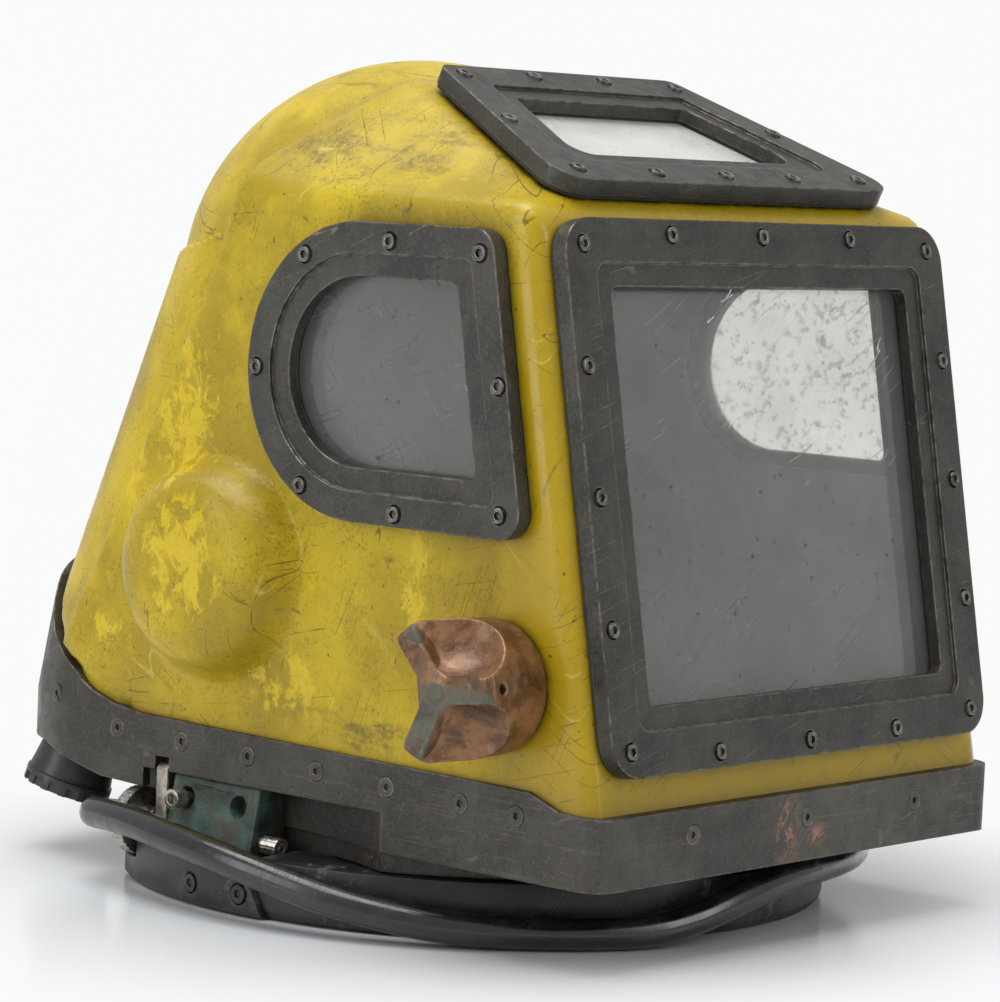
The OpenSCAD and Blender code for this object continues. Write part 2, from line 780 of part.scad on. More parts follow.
// Room that the collar, ring and keeper leave round a knurled knob
module knurl_scoop(side) {
    translate([side * lock_x, knurl_y - 3, lock_z])
        rotate([-90, 0, 0])
            cylinder(h = 60, d = knurl_d + 3, $fn = 64);
}
module latch_pocket(floor_z, height) {
    for (side = [-1, 1]) {
        translate([side > 0 ? pocket_in_x : -pocket_in_x - 60, block_front_y, floor_z])
            cube([60, 94, height]);
    }
}
module collar() {
    color(bronze)
        difference() {
            union() {
                translate([0, 0, collar_bottom])
                    cylinder(h = web_z - collar_bottom, r = collar_r, $fn = 192);
                translate([0, 0, spigot_z])
                    cylinder(h = collar_bottom - spigot_z + 1, r = ring_step_r - part_gap,
                             $fn = 192);
            }
            translate([0, 0, -1])
                cylinder(h = 80, r = neck_r, $fn = 192);
            latch_pocket(pocket_floor_z - 0.1, 60);
            latch_scallop(scallop_depth, 60);
            difference() {
                translate([0, 0, collar_bottom - 1])
                    cylinder(h = collar_step_z - collar_bottom + 1, r = collar_r + 5, $fn = 192);
                translate([0, 0, collar_bottom - 2])
                    cylinder(h = 20, r = collar_r - 2, $fn = 192);
            }
            latch_scallop(scallop_depth + 2, collar_step_z);
            for (side = [-1, 1]) {
                knurl_scoop(side);
            }
            rotate_extrude($fn = 192)
                translate([seal_r - seal_tube - part_gap, spigot_z - 1])
                    square([2 * (seal_tube + part_gap), 3.1]);
            collar_screw_places()
                translate([0, 0, collar_bottom - 10]) {
                    cylinder(h = 60, d = collar_shank_d + 2 * part_gap, $fn = 24);
                    cylinder(h = 17, d = 9, $fn = 24);
                }
            latch_screw_axes()
                translate([0, 0, -block_t - collar_thread - part_gap])
                    cylinder(h = 40, d = block_shank_d + 2 * fit_gap, $fn = 24);
        }
}
module collar_screws() {
    color(steel)
        collar_screw_places() {
            translate([0, 0, collar_bottom + 2])
                difference() {
                    cylinder(h = 5, d = 8.2, $fn = 24);
                    translate([0, 0, -1])
                        cylinder(h = 3, d = 4.6, $fn = 6);
                }
            translate([0, 0, collar_bottom + 7])
                cylinder(h = web_top - collar_bottom - 7, d = collar_shank_d, $fn = 24);
        }
}
ring_step_z = 13;
ring_step_r = 118;
spigot_z = ring_step_z + 0.4;
seal_r = neck_r + 3;
seal_tube = 1.1;
// Round seal in the spigot's lower face, which the ring's ledge presses
module collar_seal() {
    color(black)
        translate([0, 0, spigot_z + 2.1 - seal_tube])
            rotate_extrude($fn = 128)
                translate([seal_r, 0])
                    circle(seal_tube, $fn = 24);
}

// Neck ring with a stepped bore, a rounded lower edge and a pocket for each latch
module neck_ring() {
    edge_r = 4;
    color(black)
        difference() {
            rotate_extrude($fn = 256)
                difference() {
                    union() {
                        translate([neck_r, 0])
                            square([ring_r - edge_r - neck_r, ring_h]);
                        translate([neck_r, edge_r])
                            square([ring_r - neck_r, ring_h - edge_r]);
                        translate([ring_r - edge_r, edge_r])
                            circle(edge_r, $fn = 32);
                    }
                    translate([neck_r - 1, ring_step_z])
                        square([ring_step_r - neck_r + 1, ring_h]);
                }
            for (side = [-1, 1]) {
                latch_sector(side, ring_step_r - 20, ring_r + 10, pocket_floor_z, 20);
                knurl_scoop(side);
                keeper_screw_places(side)
                    translate([0, 0, -12])
                        cylinder(h = 20, d = 4.4, $fn = 24);
            }
        }
}
// Sector of the ring beside a latch
sector_start = 32;
sector_end = -4;
module latch_sector(side, r0, r1, z0, h) {
    mirror([side < 0 ? 1 : 0, 0, 0])
        translate([0, 0, z0])
            rotate([0, 0, sector_end])
                rotate_extrude(angle = sector_start - sector_end, $fn = 256)
                    translate([r0, 0])
                        square([r1 - r0, h]);
}
module keeper_screw_places(side) {
    mirror([side < 0 ? 1 : 0, 0, 0])
        for (a = [-2.4, 8.6]) {
            rotate([0, 0, a])
                translate([keeper_r, 0, 9])
                    rotate([0, 90, 0])
                        children();
        }
}
// Keeper: a curved plate on the ring's side, a foot, and a grooved tongue for the shaft
tongue_y = [16, 44];
keeper_start = -8;
keeper_end = 37;
module keeper(side) {
    plate_top = pocket_floor_z + 3;
    mirror([side < 0 ? 1 : 0, 0, 0])
        color(dark_bronze)
            difference() {
                union() {
                    translate([0, 0, 1])
                        rotate([0, 0, keeper_start])
                            rotate_extrude(angle = keeper_end - keeper_start, $fn = 256)
                                translate([ring_r, 0])
                                    square([keeper_r - ring_r, plate_top - 1]);
                    translate([0, 0, pocket_floor_z])
                        intersection() {
                            translate([tongue_in_x, tongue_y[0], 0])
                                cube([40, tongue_y[1] - tongue_y[0], 3]);
                            cylinder(h = 3, r = keeper_r, $fn = 256);
                        }
                    translate([tongue_in_x, tongue_y[0], pocket_floor_z])
                        cube([tongue_out_x - tongue_in_x, tongue_y[1] - tongue_y[0],
                              tongue_top_z - pocket_floor_z]);
                }
                translate([lock_x, 0, lock_z])
                    rotate([-90, 0, 0])
                        cylinder(h = 100, r = keeper_groove_r, $fn = 48);
                knurl_scoop(1);
                // slanted front end
                translate([keeper_r, -10, 16.5])
                    rotate([-28, 0, 0])
                        translate([-20, -30, -40])
                            cube([40, 30, 60]);
                keeper_screw_places(1) {
                    translate([0, 0, -12])
                        cylinder(h = 20, d = 4.6, $fn = 24);
                    translate([0, 0, -1.6])
                        cylinder(h = 5, d = 8.6, $fn = 24);
                }
            }
}
module right_keeper() {
    keeper(-1);
}
module left_keeper() {
    keeper(1);
}
module keeper_screws() {
    color(dark_bronze)
        for (side = [-1, 1]) {
            keeper_screw_places(side) {
                difference() {
                    translate([0, 0, -1.5])
                        cylinder(h = 2, d = 7.4, $fn = 24);
                    translate([0, 0, -0.6])
                        cylinder(h = 2, d = 3.6, $fn = 6);
                }
                translate([0, 0, -11])
                    cylinder(h = 10, d = 4, $fn = 24);
            }
        }
}

module front_frame() {
    color(bronze)
        on_front()
            window_frame(0, front_frame_t, front_lip, front_rim, front_spots(), front_corner);
}
module front_pane() {
    color(clear_grey)
        on_front()
            window_pane(0, front_frame_t, front_lip, front_corner);
}
module front_gasket() {
    color(black)
        on_front()
            window_gasket(0, front_frame_t, front_lip, front_corner, front_spots());
}
module front_screws() {
    color(steel)
        on_front()
            window_screws(front_frame_t, front_spots());
}
module top_frame() {
    color(bronze)
        on_top()
            window_frame(1, top_frame_t, top_lip, top_rim, top_spots(), top_corner);
}
module top_pane() {
    color(clear_grey)
        on_top()
            window_pane(1, top_frame_t, top_lip, top_corner);
}
module top_gasket() {
    color(black)
        on_top()
            window_gasket(1, top_frame_t, top_lip, top_corner, top_spots());
}
module top_screws() {
    color(steel)
        on_top()
            window_screws(top_frame_t, top_spots());
}
module side_frame(side) {
    color(bronze)
        on_side(side)
            window_frame(2, side_frame_t, side_lip, side_rim, side_spots(), side_corner);
}
module side_pane(side) {
    color(clear_grey)
        on_side(side)
            window_pane(2, side_frame_t, side_lip, side_corner);
}
module side_gasket(side) {
    color(black)
        on_side(side)
            window_gasket(2, side_frame_t, side_lip, side_corner, side_spots());
}
module side_screws(side) {
    color(steel)
        on_side(side)
            window_screws(side_frame_t, side_spots());
}
module right_frame() { side_frame(-1); }
module right_pane() { side_pane(-1); }
module right_gasket() { side_gasket(-1); }
module right_screws() { side_screws(-1); }
module left_frame() { side_frame(1); }
module left_pane() { side_pane(1); }
module left_gasket() { side_gasket(1); }
module left_screws() { side_screws(1); }

// Air control valve. Its parts are drawn along +z, which points out of the shell
body_thread_d = 20;
valve_flange_d = 36;
module on_air_axis() {
    translate([air_seat_x, air_y, air_z])
        rotate([0, -90, 0])
            children();
}
// Three-lobed knob: a turned body with three round hollows
lobe_w = 10;
hollow_corner_r = 7;
hollow_ball_r = 26;
hollow_ball_out = 32.5;
hollow_ball_rise = 5;
knob_screw_h = 27.5;
lobe_turn = 8;
knob_bore_h = 32;
module knob_hollow() {
    reach = (lobe_w / 2 + hollow_corner_r) / sin(60);
    edge = reach - hollow_corner_r * sin(60);
    rise = hollow_corner_r * cos(60);
    wide = 40;
    intersection() {
        translate([0, 0, -60])
            linear_extrude(80)
                union() {
                    translate([reach, 0])
                        circle(hollow_corner_r, $fn = 48);
                    polygon([[edge, rise], [edge + wide, rise + wide * tan(60)],
                             [edge + wide, -rise - wide * tan(60)], [edge, -rise]]);
                }
        translate([hollow_ball_out, 0, hollow_ball_rise])
            sphere(hollow_ball_r, $fn = 96);
    }
}
module air_knob() {
    color(copper)
        on_air_axis()
            translate([0, 0, knob_gap])
                rotate([0, 0, lobe_turn])
                difference() {
                    rotate_extrude($fn = 96)
                        polygon([[0, 0], [knob_r - 2, 0], [knob_r - 0.4, 1.2], [knob_r, 4],
                                 [knob_r + 0.3, 13], [knob_r + 0.8, 22], [knob_r + 1.8, 30],
                                 [knob_r + 2, knob_len - 3.5], [knob_r + 0.8, knob_len - 0.8],
                                 [knob_r - 2, knob_len], [12, knob_len - 1.2],
                                 [4.2, knob_len - 1.4], [3.8, knob_len - 0.6],
                                 [0, knob_len - 0.6]]);
                    for (a = [90, 210, 330]) {
                        rotate([0, 0, a])
                            translate([0, 0, knob_len])
                                knob_hollow();
                    }
                    translate([0, 0, -1])
                        cylinder(h = knob_bore_h + 1, d = spindle_d + 2 * fit_gap, $fn = 48);
                    translate([0, 0, -1])
                        cylinder(h = gland_h + 1.4, d = gland_d + 9, $fn = 48);
                    knob_screw_axis()
                        cylinder(h = 40, d = 4.2, $fn = 24);
                }
}
module knob_screw_axis() {
    translate([0, 0, knob_screw_h])
        rotate([90, 0, 0])
            children();
}
module knob_set_screw() {
    color(dark_bronze)
        on_air_axis()
            translate([0, 0, knob_gap])
                rotate([0, 0, lobe_turn])
                    knob_screw_axis()
                        translate([0, 0, spindle_d / 2 + 0.1])
                            difference() {
                                cylinder(h = 13, d = 4, $fn = 24);
                                translate([0, 0, 11])
                                    cylinder(h = 3, d = 2.2, $fn = 6);
                            }
}
gland_d = 20;
gland_h = 7;
plunger_stem_d = 5;
module valve_spindle() {
    color(steel)
        on_air_axis()
            difference() {
                union() {
                    translate([0, 0, -38])
                        cylinder(h = 38 + knob_gap + knob_bore_h - 1, d = spindle_d, $fn = 48);
                    translate([0, 0, -30])
                        cylinder(h = 6, d = spindle_d + 4, $fn = 48);
                }
                translate([0, 0, -39])
                    cylinder(h = 9, d = plunger_stem_d + 2 * fit_gap, $fn = 24);
            }
}
// Valve body inside the shell, its collar on the inner wall
module valve_body() {
    color(bronze)
        on_air_axis()
            difference() {
                union() {
                    translate([0, 0, -shell_wall - 48])
                        cylinder(h = 42, d = 34, $fn = 64);
                    translate([0, 0, -shell_wall - 6.1])
                        cylinder(h = 6, d = valve_flange_d, $fn = 6);
                    translate([0, 0, -shell_wall - 6])
                        cylinder(h = shell_wall + 9, d = body_thread_d, $fn = 48);
                    on_duct_port()
                        cylinder(h = 26, d = duct_d + 6, $fn = 48);
                }
                translate([0, 0, -shell_wall - 44])
                    cylinder(h = 100, d = spindle_d + 2 * fit_gap, $fn = 48);
                translate([0, 0, -shell_wall - 44])
                    cylinder(h = 28, d = 24, $fn = 48);
                translate([0, 0, -shell_wall - 50])
                    cylinder(h = 8, d = 14, $fn = 48);
                on_duct_port() {
                    cylinder(h = 20, d = duct_d - 3, $fn = 48);
                    translate([0, 0, duct_start_y - air_y])
                        cylinder(h = 10, d = duct_d + 2 * fit_gap, $fn = 48);
                }
            }
}
// Port on the valve body's rear side, in line with the duct
module on_duct_port() {
    translate([inlet_z - air_z, 0, duct_x - shell_half_w])
        rotate([-90, 0, 0])
            children();
}
module valve_nut() {
    color(bronze)
        on_air_axis()
            difference() {
                union() {
                    cylinder(h = 4.5, d = 27, $fn = 6);
                    cylinder(h = gland_h, d = gland_d - 1, $fn = 48);
                }
                translate([0, 0, -1])
                    cylinder(h = 4.2, d = body_thread_d + 2 * fit_gap, $fn = 48);
                cylinder(h = 20, d = spindle_d + 2 * part_gap, $fn = 48);
            }
}
// Plunger that the spindle's screw drives against the seat
module valve_plunger() {
    color(steel)
        on_air_axis()
            translate([0, 0, -shell_wall - 44 + part_gap])
                union() {
                    cylinder(h = 5, d = 18, $fn = 48);
                    cylinder(h = 15, d = plunger_stem_d, $fn = 24);
                }
}
// Air inlet on the band's tall rear, and the duct from it to the control valve
inlet_y = 181;
inlet_z = 96;
inlet_d = 24;
inlet_wall_y = 161.3;
chamber_d = 16;
chamber_end = -24;
seat_end = -2;
duct_d = 14;
duct_x = 104;
duct_bend = 60;
duct_bend_y = 80;
duct_start_y = air_y + 19;
module on_inlet_axis() {
    translate([0, inlet_y, inlet_z])
        rotate([-90, 0, 0])
            children();
}
module duct_line(d) {
    translate([-duct_x, duct_start_y, inlet_z])
        rotate([-90, 0, 0])
            cylinder(h = duct_bend_y - duct_start_y, d = d, $fn = 48);
    translate([-duct_x + duct_bend, duct_bend_y, inlet_z])
        rotate([0, 0, 90])
            rotate_extrude(angle = 90, $fn = 96)
                translate([duct_bend, 0])
                    circle(d = d, $fn = 48);
    translate([-duct_x + duct_bend, duct_bend_y + duct_bend, inlet_z])
        rotate([0, 90, 0])
            cylinder(h = duct_x - duct_bend - 5, d = d, $fn = 48);
}
module air_duct() {
    color(steel)
        difference() {
            duct_line(duct_d);
            difference() {
                duct_line(duct_d - 3);
                translate([-duct_x - 10, duct_start_y - 1, inlet_z - 10])
                    cube([20, 1.01, 20]);
            }
            translate([0, inlet_y, inlet_z])
                rotate([90, 0, 0])
                    cylinder(h = 60, d = inlet_d + 0.2, $fn = 64);
        }
}
module air_inlet() {
    color(bronze)
        on_inlet_axis()
            difference() {
                union() {
                    translate([0, 0, -50])
                        cylinder(h = 80, d = inlet_d, $fn = 64);
                    cylinder(h = 8, d = 38, $fn = 6);
                }
                translate([0, 0, chamber_end])
                    cylinder(h = seat_end - chamber_end, d = chamber_d, $fn = 48);
                translate([0, 0, -46])
                    cylinder(h = 30, d = 9, $fn = 48);
                translate([0, 0, -10])
                    cylinder(h = 60, d = 11, $fn = 48);
                translate([0, 0, -inlet_y + duct_bend_y + duct_bend])
                    rotate([0, -90, 0])
                        cylinder(h = 30, d = duct_d - 3, $fn = 48);
            }
}
module inlet_nut() {
    color(bronze)
        on_inlet_axis()
            translate([0, 0, inlet_wall_y - inlet_y - 8])
                difference() {
                    cylinder(h = 8, d = 38, $fn = 6);
                    translate([0, 0, -1])
                        cylinder(h = 10, d = inlet_d + 2 * fit_gap, $fn = 64);
                }
}
module non_return_poppet() {
    color(steel)
        on_inlet_axis() {
            translate([0, 0, seat_end - 3.2])
                cylinder(h = 3, d = chamber_d - 0.8, $fn = 48);
            translate([0, 0, seat_end - 16])
                cylinder(h = 13, d = 4, $fn = 24);
        }
}
// Coil spring swept round a helix
module coil(turns, r, pitch, wire, per_turn, sides) {
    n = turns * per_turn;
    pts = [for (i = [0 : n], k = [0 : sides - 1])
        let (a = i * 360 / per_turn, z = i * pitch / per_turn, b = k * 360 / sides)
        [(r + wire / 2 * cos(b)) * cos(a), (r + wire / 2 * cos(b)) * sin(a),
         z + wire / 2 * sin(b)]];
    sides_f = [for (i = [0 : n - 1], k = [0 : sides - 1])
        let (a = i * sides + k, b = i * sides + (k + 1) % sides)
        each [[a, b, b + sides], [a, b + sides, a + sides]]];
    cap0 = [for (k = [1 : sides - 2]) [0, k + 1, k]];
    cap1 = [for (k = [1 : sides - 2]) [n * sides, n * sides + k, n * sides + k + 1]];
    polyhedron(pts, concat(sides_f, cap0, cap1), convexity = 8);
}
module non_return_spring() {
    color(steel)
        on_inlet_axis()
            translate([0, 0, chamber_end + 0.5])
                coil(5, 5, 2.8, 1, 12, 6);
}

// Exhaust valve. Its parts are drawn along -z, which points out and down
exhaust_lug_r = 20;
exhaust_bore_d = 26;
spring_seat = -10.1;
valve_seat = 7;
module exhaust_place() {
    translate(exhaust_foot)
        rotate([0, 0, exhaust_heading])
            rotate([0, -exhaust_tilt, 0])
                children();
}
module exhaust_body() {
    color(bronze)
        exhaust_place()
            difference() {
                union() {
                    translate([0, 0, -16])
                        cylinder(h = 32, d = exhaust_bore_d - 2 * part_gap, $fn = 64);
                    translate([0, 0, 13.3])
                        cylinder(h = 4, d = 34, $fn = 64);
                }
                translate([0, 0, spring_seat])
                    cylinder(h = valve_seat - spring_seat, d = 20, $fn = 64);
                translate([0, 0, -20])
                    cylinder(h = 60, d = 11, $fn = 64);
                cylinder(h = 40, d = 15, $fn = 64);
            }
}
bonnet_top = -7.4;
module exhaust_bonnet() {
    color(black)
        exhaust_place()
            translate([0, 0, bonnet_top - bonnet_h]) {
                difference() {
                    union() {
                        cylinder(h = 6.5, r = bonnet_r, $fn = 96);
                        translate([0, 0, 6.5])
                            cylinder(h = bonnet_h - 6.5, r1 = bonnet_r - 0.7, r2 = bonnet_r - 2.7,
                                     $fn = 96);
                    }
                    translate([0, 0, 4])
                        cylinder(h = bonnet_h, d = exhaust_bore_d - 2 * part_gap + 2 * fit_gap,
                                 $fn = 64);
                    for (i = [0 : 5]) {
                        rotate([0, 0, i * 60])
                            translate([10.4, 0, -1])
                                cylinder(h = 10, d = 2.6, $fn = 24);
                    }
                    for (i = [0 : 13]) {
                        rotate([0, 0, i * 360 / 14])
                            translate([bonnet_r, 0, 1.9])
                                cube([2.6, 4.4, 4], center = true);
                    }
                }
                translate([0, 0, 3.9])
                    cylinder(h = bonnet_h - 10.4 + bonnet_top + 3.9, r = 8.8, $fn = 48);
            }
}
module exhaust_disc() {
    color(black)
        exhaust_place()
            translate([0, 0, valve_seat - 2.2 - part_gap])
                cylinder(h = 2.2, d = 19.2, $fn = 64);
}
module exhaust_spring() {
    color(steel)
        exhaust_place()
            translate([0, 0, spring_seat + 0.6])
                coil(4, 7.5, 2.5, 1, 12, 6);
}

// Latches
module latch_screw_axes() {
    for (side = [-1, 1], y = screw_hole_y) {
        translate([side * block_out_x, y, screw_hole_z])
            rotate([0, 90, 0])
                children();
    }
}
module latch_block(side) {
    mirror([side < 0 ? 1 : 0, 0, 0])
        color(patina)
            difference() {
                translate([0, block_rear_y, 0])
                    rotate([90, 0, 0])
                        linear_extrude(block_len)
                            polygon([[block_out_x - block_t, block_bottom_z],
                                     [block_foot_x - 1.5, block_bottom_z],
                                     [block_foot_x, block_bottom_z + 1.5],
                                     [block_out_x, block_top_z - 1],
                                     [block_out_x - 1, block_top_z],
                                     [block_out_x - block_t, block_top_z]]);
                translate([lock_x, block_front_y - 1, lock_z])
                    rotate([-90, 0, 0])
                        cylinder(h = block_len + 2, d = lock_d + 2 * fit_gap, $fn = 48);
                for (y = screw_hole_y) {
                    translate([block_out_x - block_t - 1, y, screw_hole_z])
                        rotate([0, 90, 0])
                            cylinder(h = block_t + 2, d = block_shank_d + 2 * part_gap, $fn = 24);
                    translate([block_out_x - block_head_sink, y, screw_hole_z])
                        rotate([0, 90, 0])
                            cylinder(h = 12, d = block_head_d + 2 * part_gap, $fn = 32);
                }
                // slot for the keeper's tongue
                translate([block_out_x - block_t - 1, tongue_y[0] - part_gap, block_bottom_z - 1])
                    cube([tongue_out_x + part_gap - (block_out_x - block_t - 1),
                          tongue_y[1] - tongue_y[0] + 2 * part_gap,
                          tongue_top_z + 0.5 - block_bottom_z + 1]);
            }
}
module right_latch_block() { latch_block(-1); }
module left_latch_block() { latch_block(1); }

// Screw that holds a block on the collar
module block_screw(out) {
    translate([0, 0, out - block_head_sink]) {
        translate([0, 0, block_head_sink - block_t - collar_thread])
            cylinder(h = block_t + collar_thread - block_head_sink + 0.1, d = block_shank_d,
                     $fn = 24);
        difference() {
            cylinder(h = 6, d = block_head_d, $fn = 24);
            translate([0, 0, 3])
                cylinder(h = 4, d = 5, $fn = 6);
        }
    }
}
// On the right the rear screw stands out and the front one is missing
module right_block_screw() {
    color(steel)
        translate([-block_out_x, screw_hole_y[1], screw_hole_z])
            rotate([0, -90, 0])
                block_screw(10);
}
module left_block_screws() {
    color(steel)
        for (y = screw_hole_y) {
            translate([block_out_x, y, screw_hole_z])
                rotate([0, 90, 0])
                    block_screw(0);
        }
}

// Lock shaft: its flat lets the keeper's tongue pass when the lever stands up
module lock_shaft(side) {
    mirror([side < 0 ? 1 : 0, 0, 0])
        color(steel)
            translate([lock_x, 0, lock_z])
                rotate([-90, 0, 0])
                    difference() {
                        translate([0, 0, shaft_front_y])
                            cylinder(h = shaft_end_y - shaft_front_y, d = lock_d, $fn = 48);
                        translate([0, 0, shaft_front_y - 1])
                            cylinder(h = 4, d = 4.6, $fn = 6);
                        translate([-lock_flat - 10, -10, tongue_y[0] - 1])
                            cube([10, 20, tongue_y[1] - tongue_y[0] + 2]);
                    }
}
module right_lock_shaft() { lock_shaft(-1); }
module left_lock_shaft() { lock_shaft(1); }

// Thumb lever: a hub on the shaft and a flat arm with a chamfered tip
module thumb_lever(side) {
    mirror([side < 0 ? 1 : 0, 0, 0])
        color([0.66, 0.63, 0.56])
            translate([lock_x, lever_y + lever_t, lock_z])
                rotate([90, 0, 0])
                    difference() {
                        union() {
                            cylinder(h = lever_t, r = 5.2, $fn = 48);
                            linear_extrude(lever_t)
                                polygon([[-4.8, 0], [-4.8, 20.5], [-3.6, 24.5], [-1, 26], [3, 26],
                                         [4.8, 24], [4.8, 0]]);
                        }
                        translate([0, 0, -1])
                            cylinder(h = lever_t + 2, d = lock_d + 2 * fit_gap, $fn = 48);
                    }
}
module right_thumb_lever() { thumb_lever(-1); }
module left_thumb_lever() { thumb_lever(1); }

module knurled_knob(side) {
    mirror([side < 0 ? 1 : 0, 0, 0])
        color(steel)
            translate([lock_x, knurl_y, lock_z])
                rotate([-90, 0, 0])
                    difference() {
                        union() {
                            cylinder(h = knurl_t, d = knurl_d, $fn = 96);
                            translate([0, 0, -8])
                                cylinder(h = 8.5, d = 13, $fn = 48);
                        }
                        translate([0, 0, -9])
                            cylinder(h = knurl_t + 20, d = lock_d + 2 * fit_gap, $fn = 48);
                        for (i = [0 : 35]) {
                            rotate([0, 0, i * 10])
                                translate([knurl_d / 2 + 0.5, 0, -1])
                                    rotate([0, 0, 45])
                                        cube([1.2, 1.2, 20], center = true);
                        }
                    }
}
module right_knurled_knob() { knurled_knob(-1); }
module left_knurled_knob() { knurled_knob(1); }

// Hose loop: its route round the front of the neck ring, chosen by hand
hose_r = hose_d / 2;
hose_points = [
    [-124, 82.7, 24.5], [-124.6, 85.8, 24.6], [-127.2, 88.9, 25], [-130.8, 90.2, 25.6],
    [-134.4, 89.9, 26.4], [-138, 88.2, 27.3], [-141.4, 85.2, 28.1], [-144.5, 81.3, 28.8],
    [-146.6, 76, 29.3], [-149, 68, 29.8], [-151.5, 58.5, 30], [-154, 48, 29.9],
    [-156.5, 36, 29.3], [-158.5, 22, 28], [-159.8, 4, 26.2],
    [-159, -16, 23], [-156, -36, 19.2], [-151, -54, 15.4], [-143.5, -71, 12],
    [-133, -89, 9], [-120, -106, 7.4], [-104, -121, 6.9], [-86, -135, 6.8],
    [-66, -146, 7.2], [-46, -153.5, 10.8], [-23, -158.5, 17.5], [0, -160, 22.3],
    [24, -158, 24], [48, -152, 23.8], [72, -142, 23], [95, -127, 22.2], [115, -108, 21.8],
    [132, -87, 21.8], [145, -64, 22.2], [153, -40, 23.5], [158, -14, 26], [159.5, 10, 28.5],
    [157.6, 32, 30.2], [155, 48, 30.6], [152, 60, 30.2], [148.8, 70, 29.6], [146.6, 76, 29.3],
    [144.5, 81.3, 28.8], [141.4, 85.2, 28.1], [138, 88.2, 27.3], [134.4, 89.9, 26.4],
    [130.8, 90.2, 25.6], [127.2, 88.9, 25], [124.6, 85.8, 24.6], [124, 82.7, 24.5]
];
// Smooth curve through the points
function pick(p, i) = p[min(max(i, 0), len(p) - 1)];
function on_curve(p, i, s) =
    let (a = pick(p, i - 1), b = pick(p, i), c = pick(p, i + 1), d = pick(p, i + 2))
    b + (c - a) * s / 2 + (2 * a - 5 * b + 4 * c - d) * s * s / 2
      + (3 * b - a - 3 * c + d) * s * s * s / 2;
hose_steps = 2;
hose_route = [for (k = [0 : hose_steps * (len(hose_points) - 1)])
    on_curve(hose_points, floor(k / hose_steps), (k % hose_steps) / hose_steps)];
function unit(v) = v / norm(v);
module tube_along(route, r, sides) {
    n = len(route);
    function heading(i) = unit(route[min(i + 1, n - 1)] - route[max(i - 1, 0)]);
    rings = [for (i = [0 : n - 1], k = [0 : sides - 1])
        let (t = heading(i), s = unit(cross(t, [0, 0, 1])), u = cross(s, t), a = k * 360 / sides)
        route[i] + r * (cos(a) * s + sin(a) * u)];
    skin = [for (i = [0 : n - 2], k = [0 : sides - 1])
        let (a = i * sides + k, b = i * sides + (k + 1) % sides)
        each [[a, b, b + sides], [a, b + sides, a + sides]]];
    cap0 = [for (k = [1 : sides - 2]) [0, k + 1, k]];
    tip = (n - 1) * sides;
    cap1 = [for (k = [1 : sides - 2]) [tip, tip + k, tip + k + 1]];
    polyhedron(rings, concat(skin, cap0, cap1), convexity = 6);
}
module hose_loop() {
    color(black)
        tube_along(hose_route, hose_r, 10);
}
module hose_ferrules() {
    color(steel)
        for (side = [-1, 1]) {
            translate([side * lock_x, 0, lock_z])
                rotate([-90, 0, 0])
                    difference() {
                        translate([0, 0, knurl_y + knurl_t + 0.3])
                            cylinder(h = ferrule_end_y - knurl_y - knurl_t - 0.3, d = hose_d - 1,
                                     $fn = 48);
                        cylinder(h = shaft_end_y + 0.3, d = lock_d + 2 * fit_gap, $fn = 48);
                    }
        }
}

// Earphones in the domes, and the microphone before the mouth
module earphone(side) {
    mirror([side < 0 ? 1 : 0, 0, 0])
        color(black)
            translate([shell_half_w + ear_out - shell_wall - 9, ear_y, ear_z])
                rotate([0, -90, 0])
                    difference() {
                        union() {
                            cylinder(h = 20, d = 46, $fn = 64);
                            translate([0, 0, -8.8])
                                cylinder(h = 9, d = 12, $fn = 32);
                        }
                        translate([0, 0, 17])
                            cylinder(h = 5, d = 38, $fn = 64);
                    }
}
module right_earphone() { earphone(-1); }
module left_earphone() { earphone(1); }
mic_y = -120;
mic_z = 84;
module microphone() {
    color(black)
        translate([0, mic_y, mic_z])
            rotate([90, 0, 0])
                cylinder(h = 14, d = 26, $fn = 64);
}
module microphone_arm() {
    color(steel)
        translate([-4, mic_y - 6, web_top])
            cube([8, 3, mic_z - 13.2 - web_top]);
}

shell();
base_band();
band_screws();
collar();
collar_screws();
collar_seal();
neck_ring();
right_keeper();
left_keeper();
keeper_screws();
front_frame();
front_pane();
front_gasket();
front_screws();
top_frame();
top_pane();
top_gasket();
top_screws();
right_frame();
right_pane();
right_gasket();
right_screws();
left_frame();
left_pane();
left_gasket();
left_screws();
air_knob();
knob_set_screw();
valve_spindle();
valve_body();
valve_nut();
valve_plunger();
air_duct();
air_inlet();
inlet_nut();
non_return_poppet();
non_return_spring();
exhaust_body();
exhaust_bonnet();
exhaust_disc();
exhaust_spring();
right_latch_block();
left_latch_block();
right_block_screw();
left_block_screws();
right_lock_shaft();
left_lock_shaft();
right_thumb_lever();
left_thumb_lever();
right_knurled_knob();
left_knurled_knob();
hose_loop();
hose_ferrules();
right_earphone();
left_earphone();
microphone();
microphone_arm();
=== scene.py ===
"""Looks of the diving helmet: a worn yellow moulded shell, oxidised bronze
frames and base band, a copper control knob and a black hose, dressed on the
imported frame. Metres, in the frame's own axes."""

import math

import bpy
import numpy as np
from mathutils import Matrix, Vector


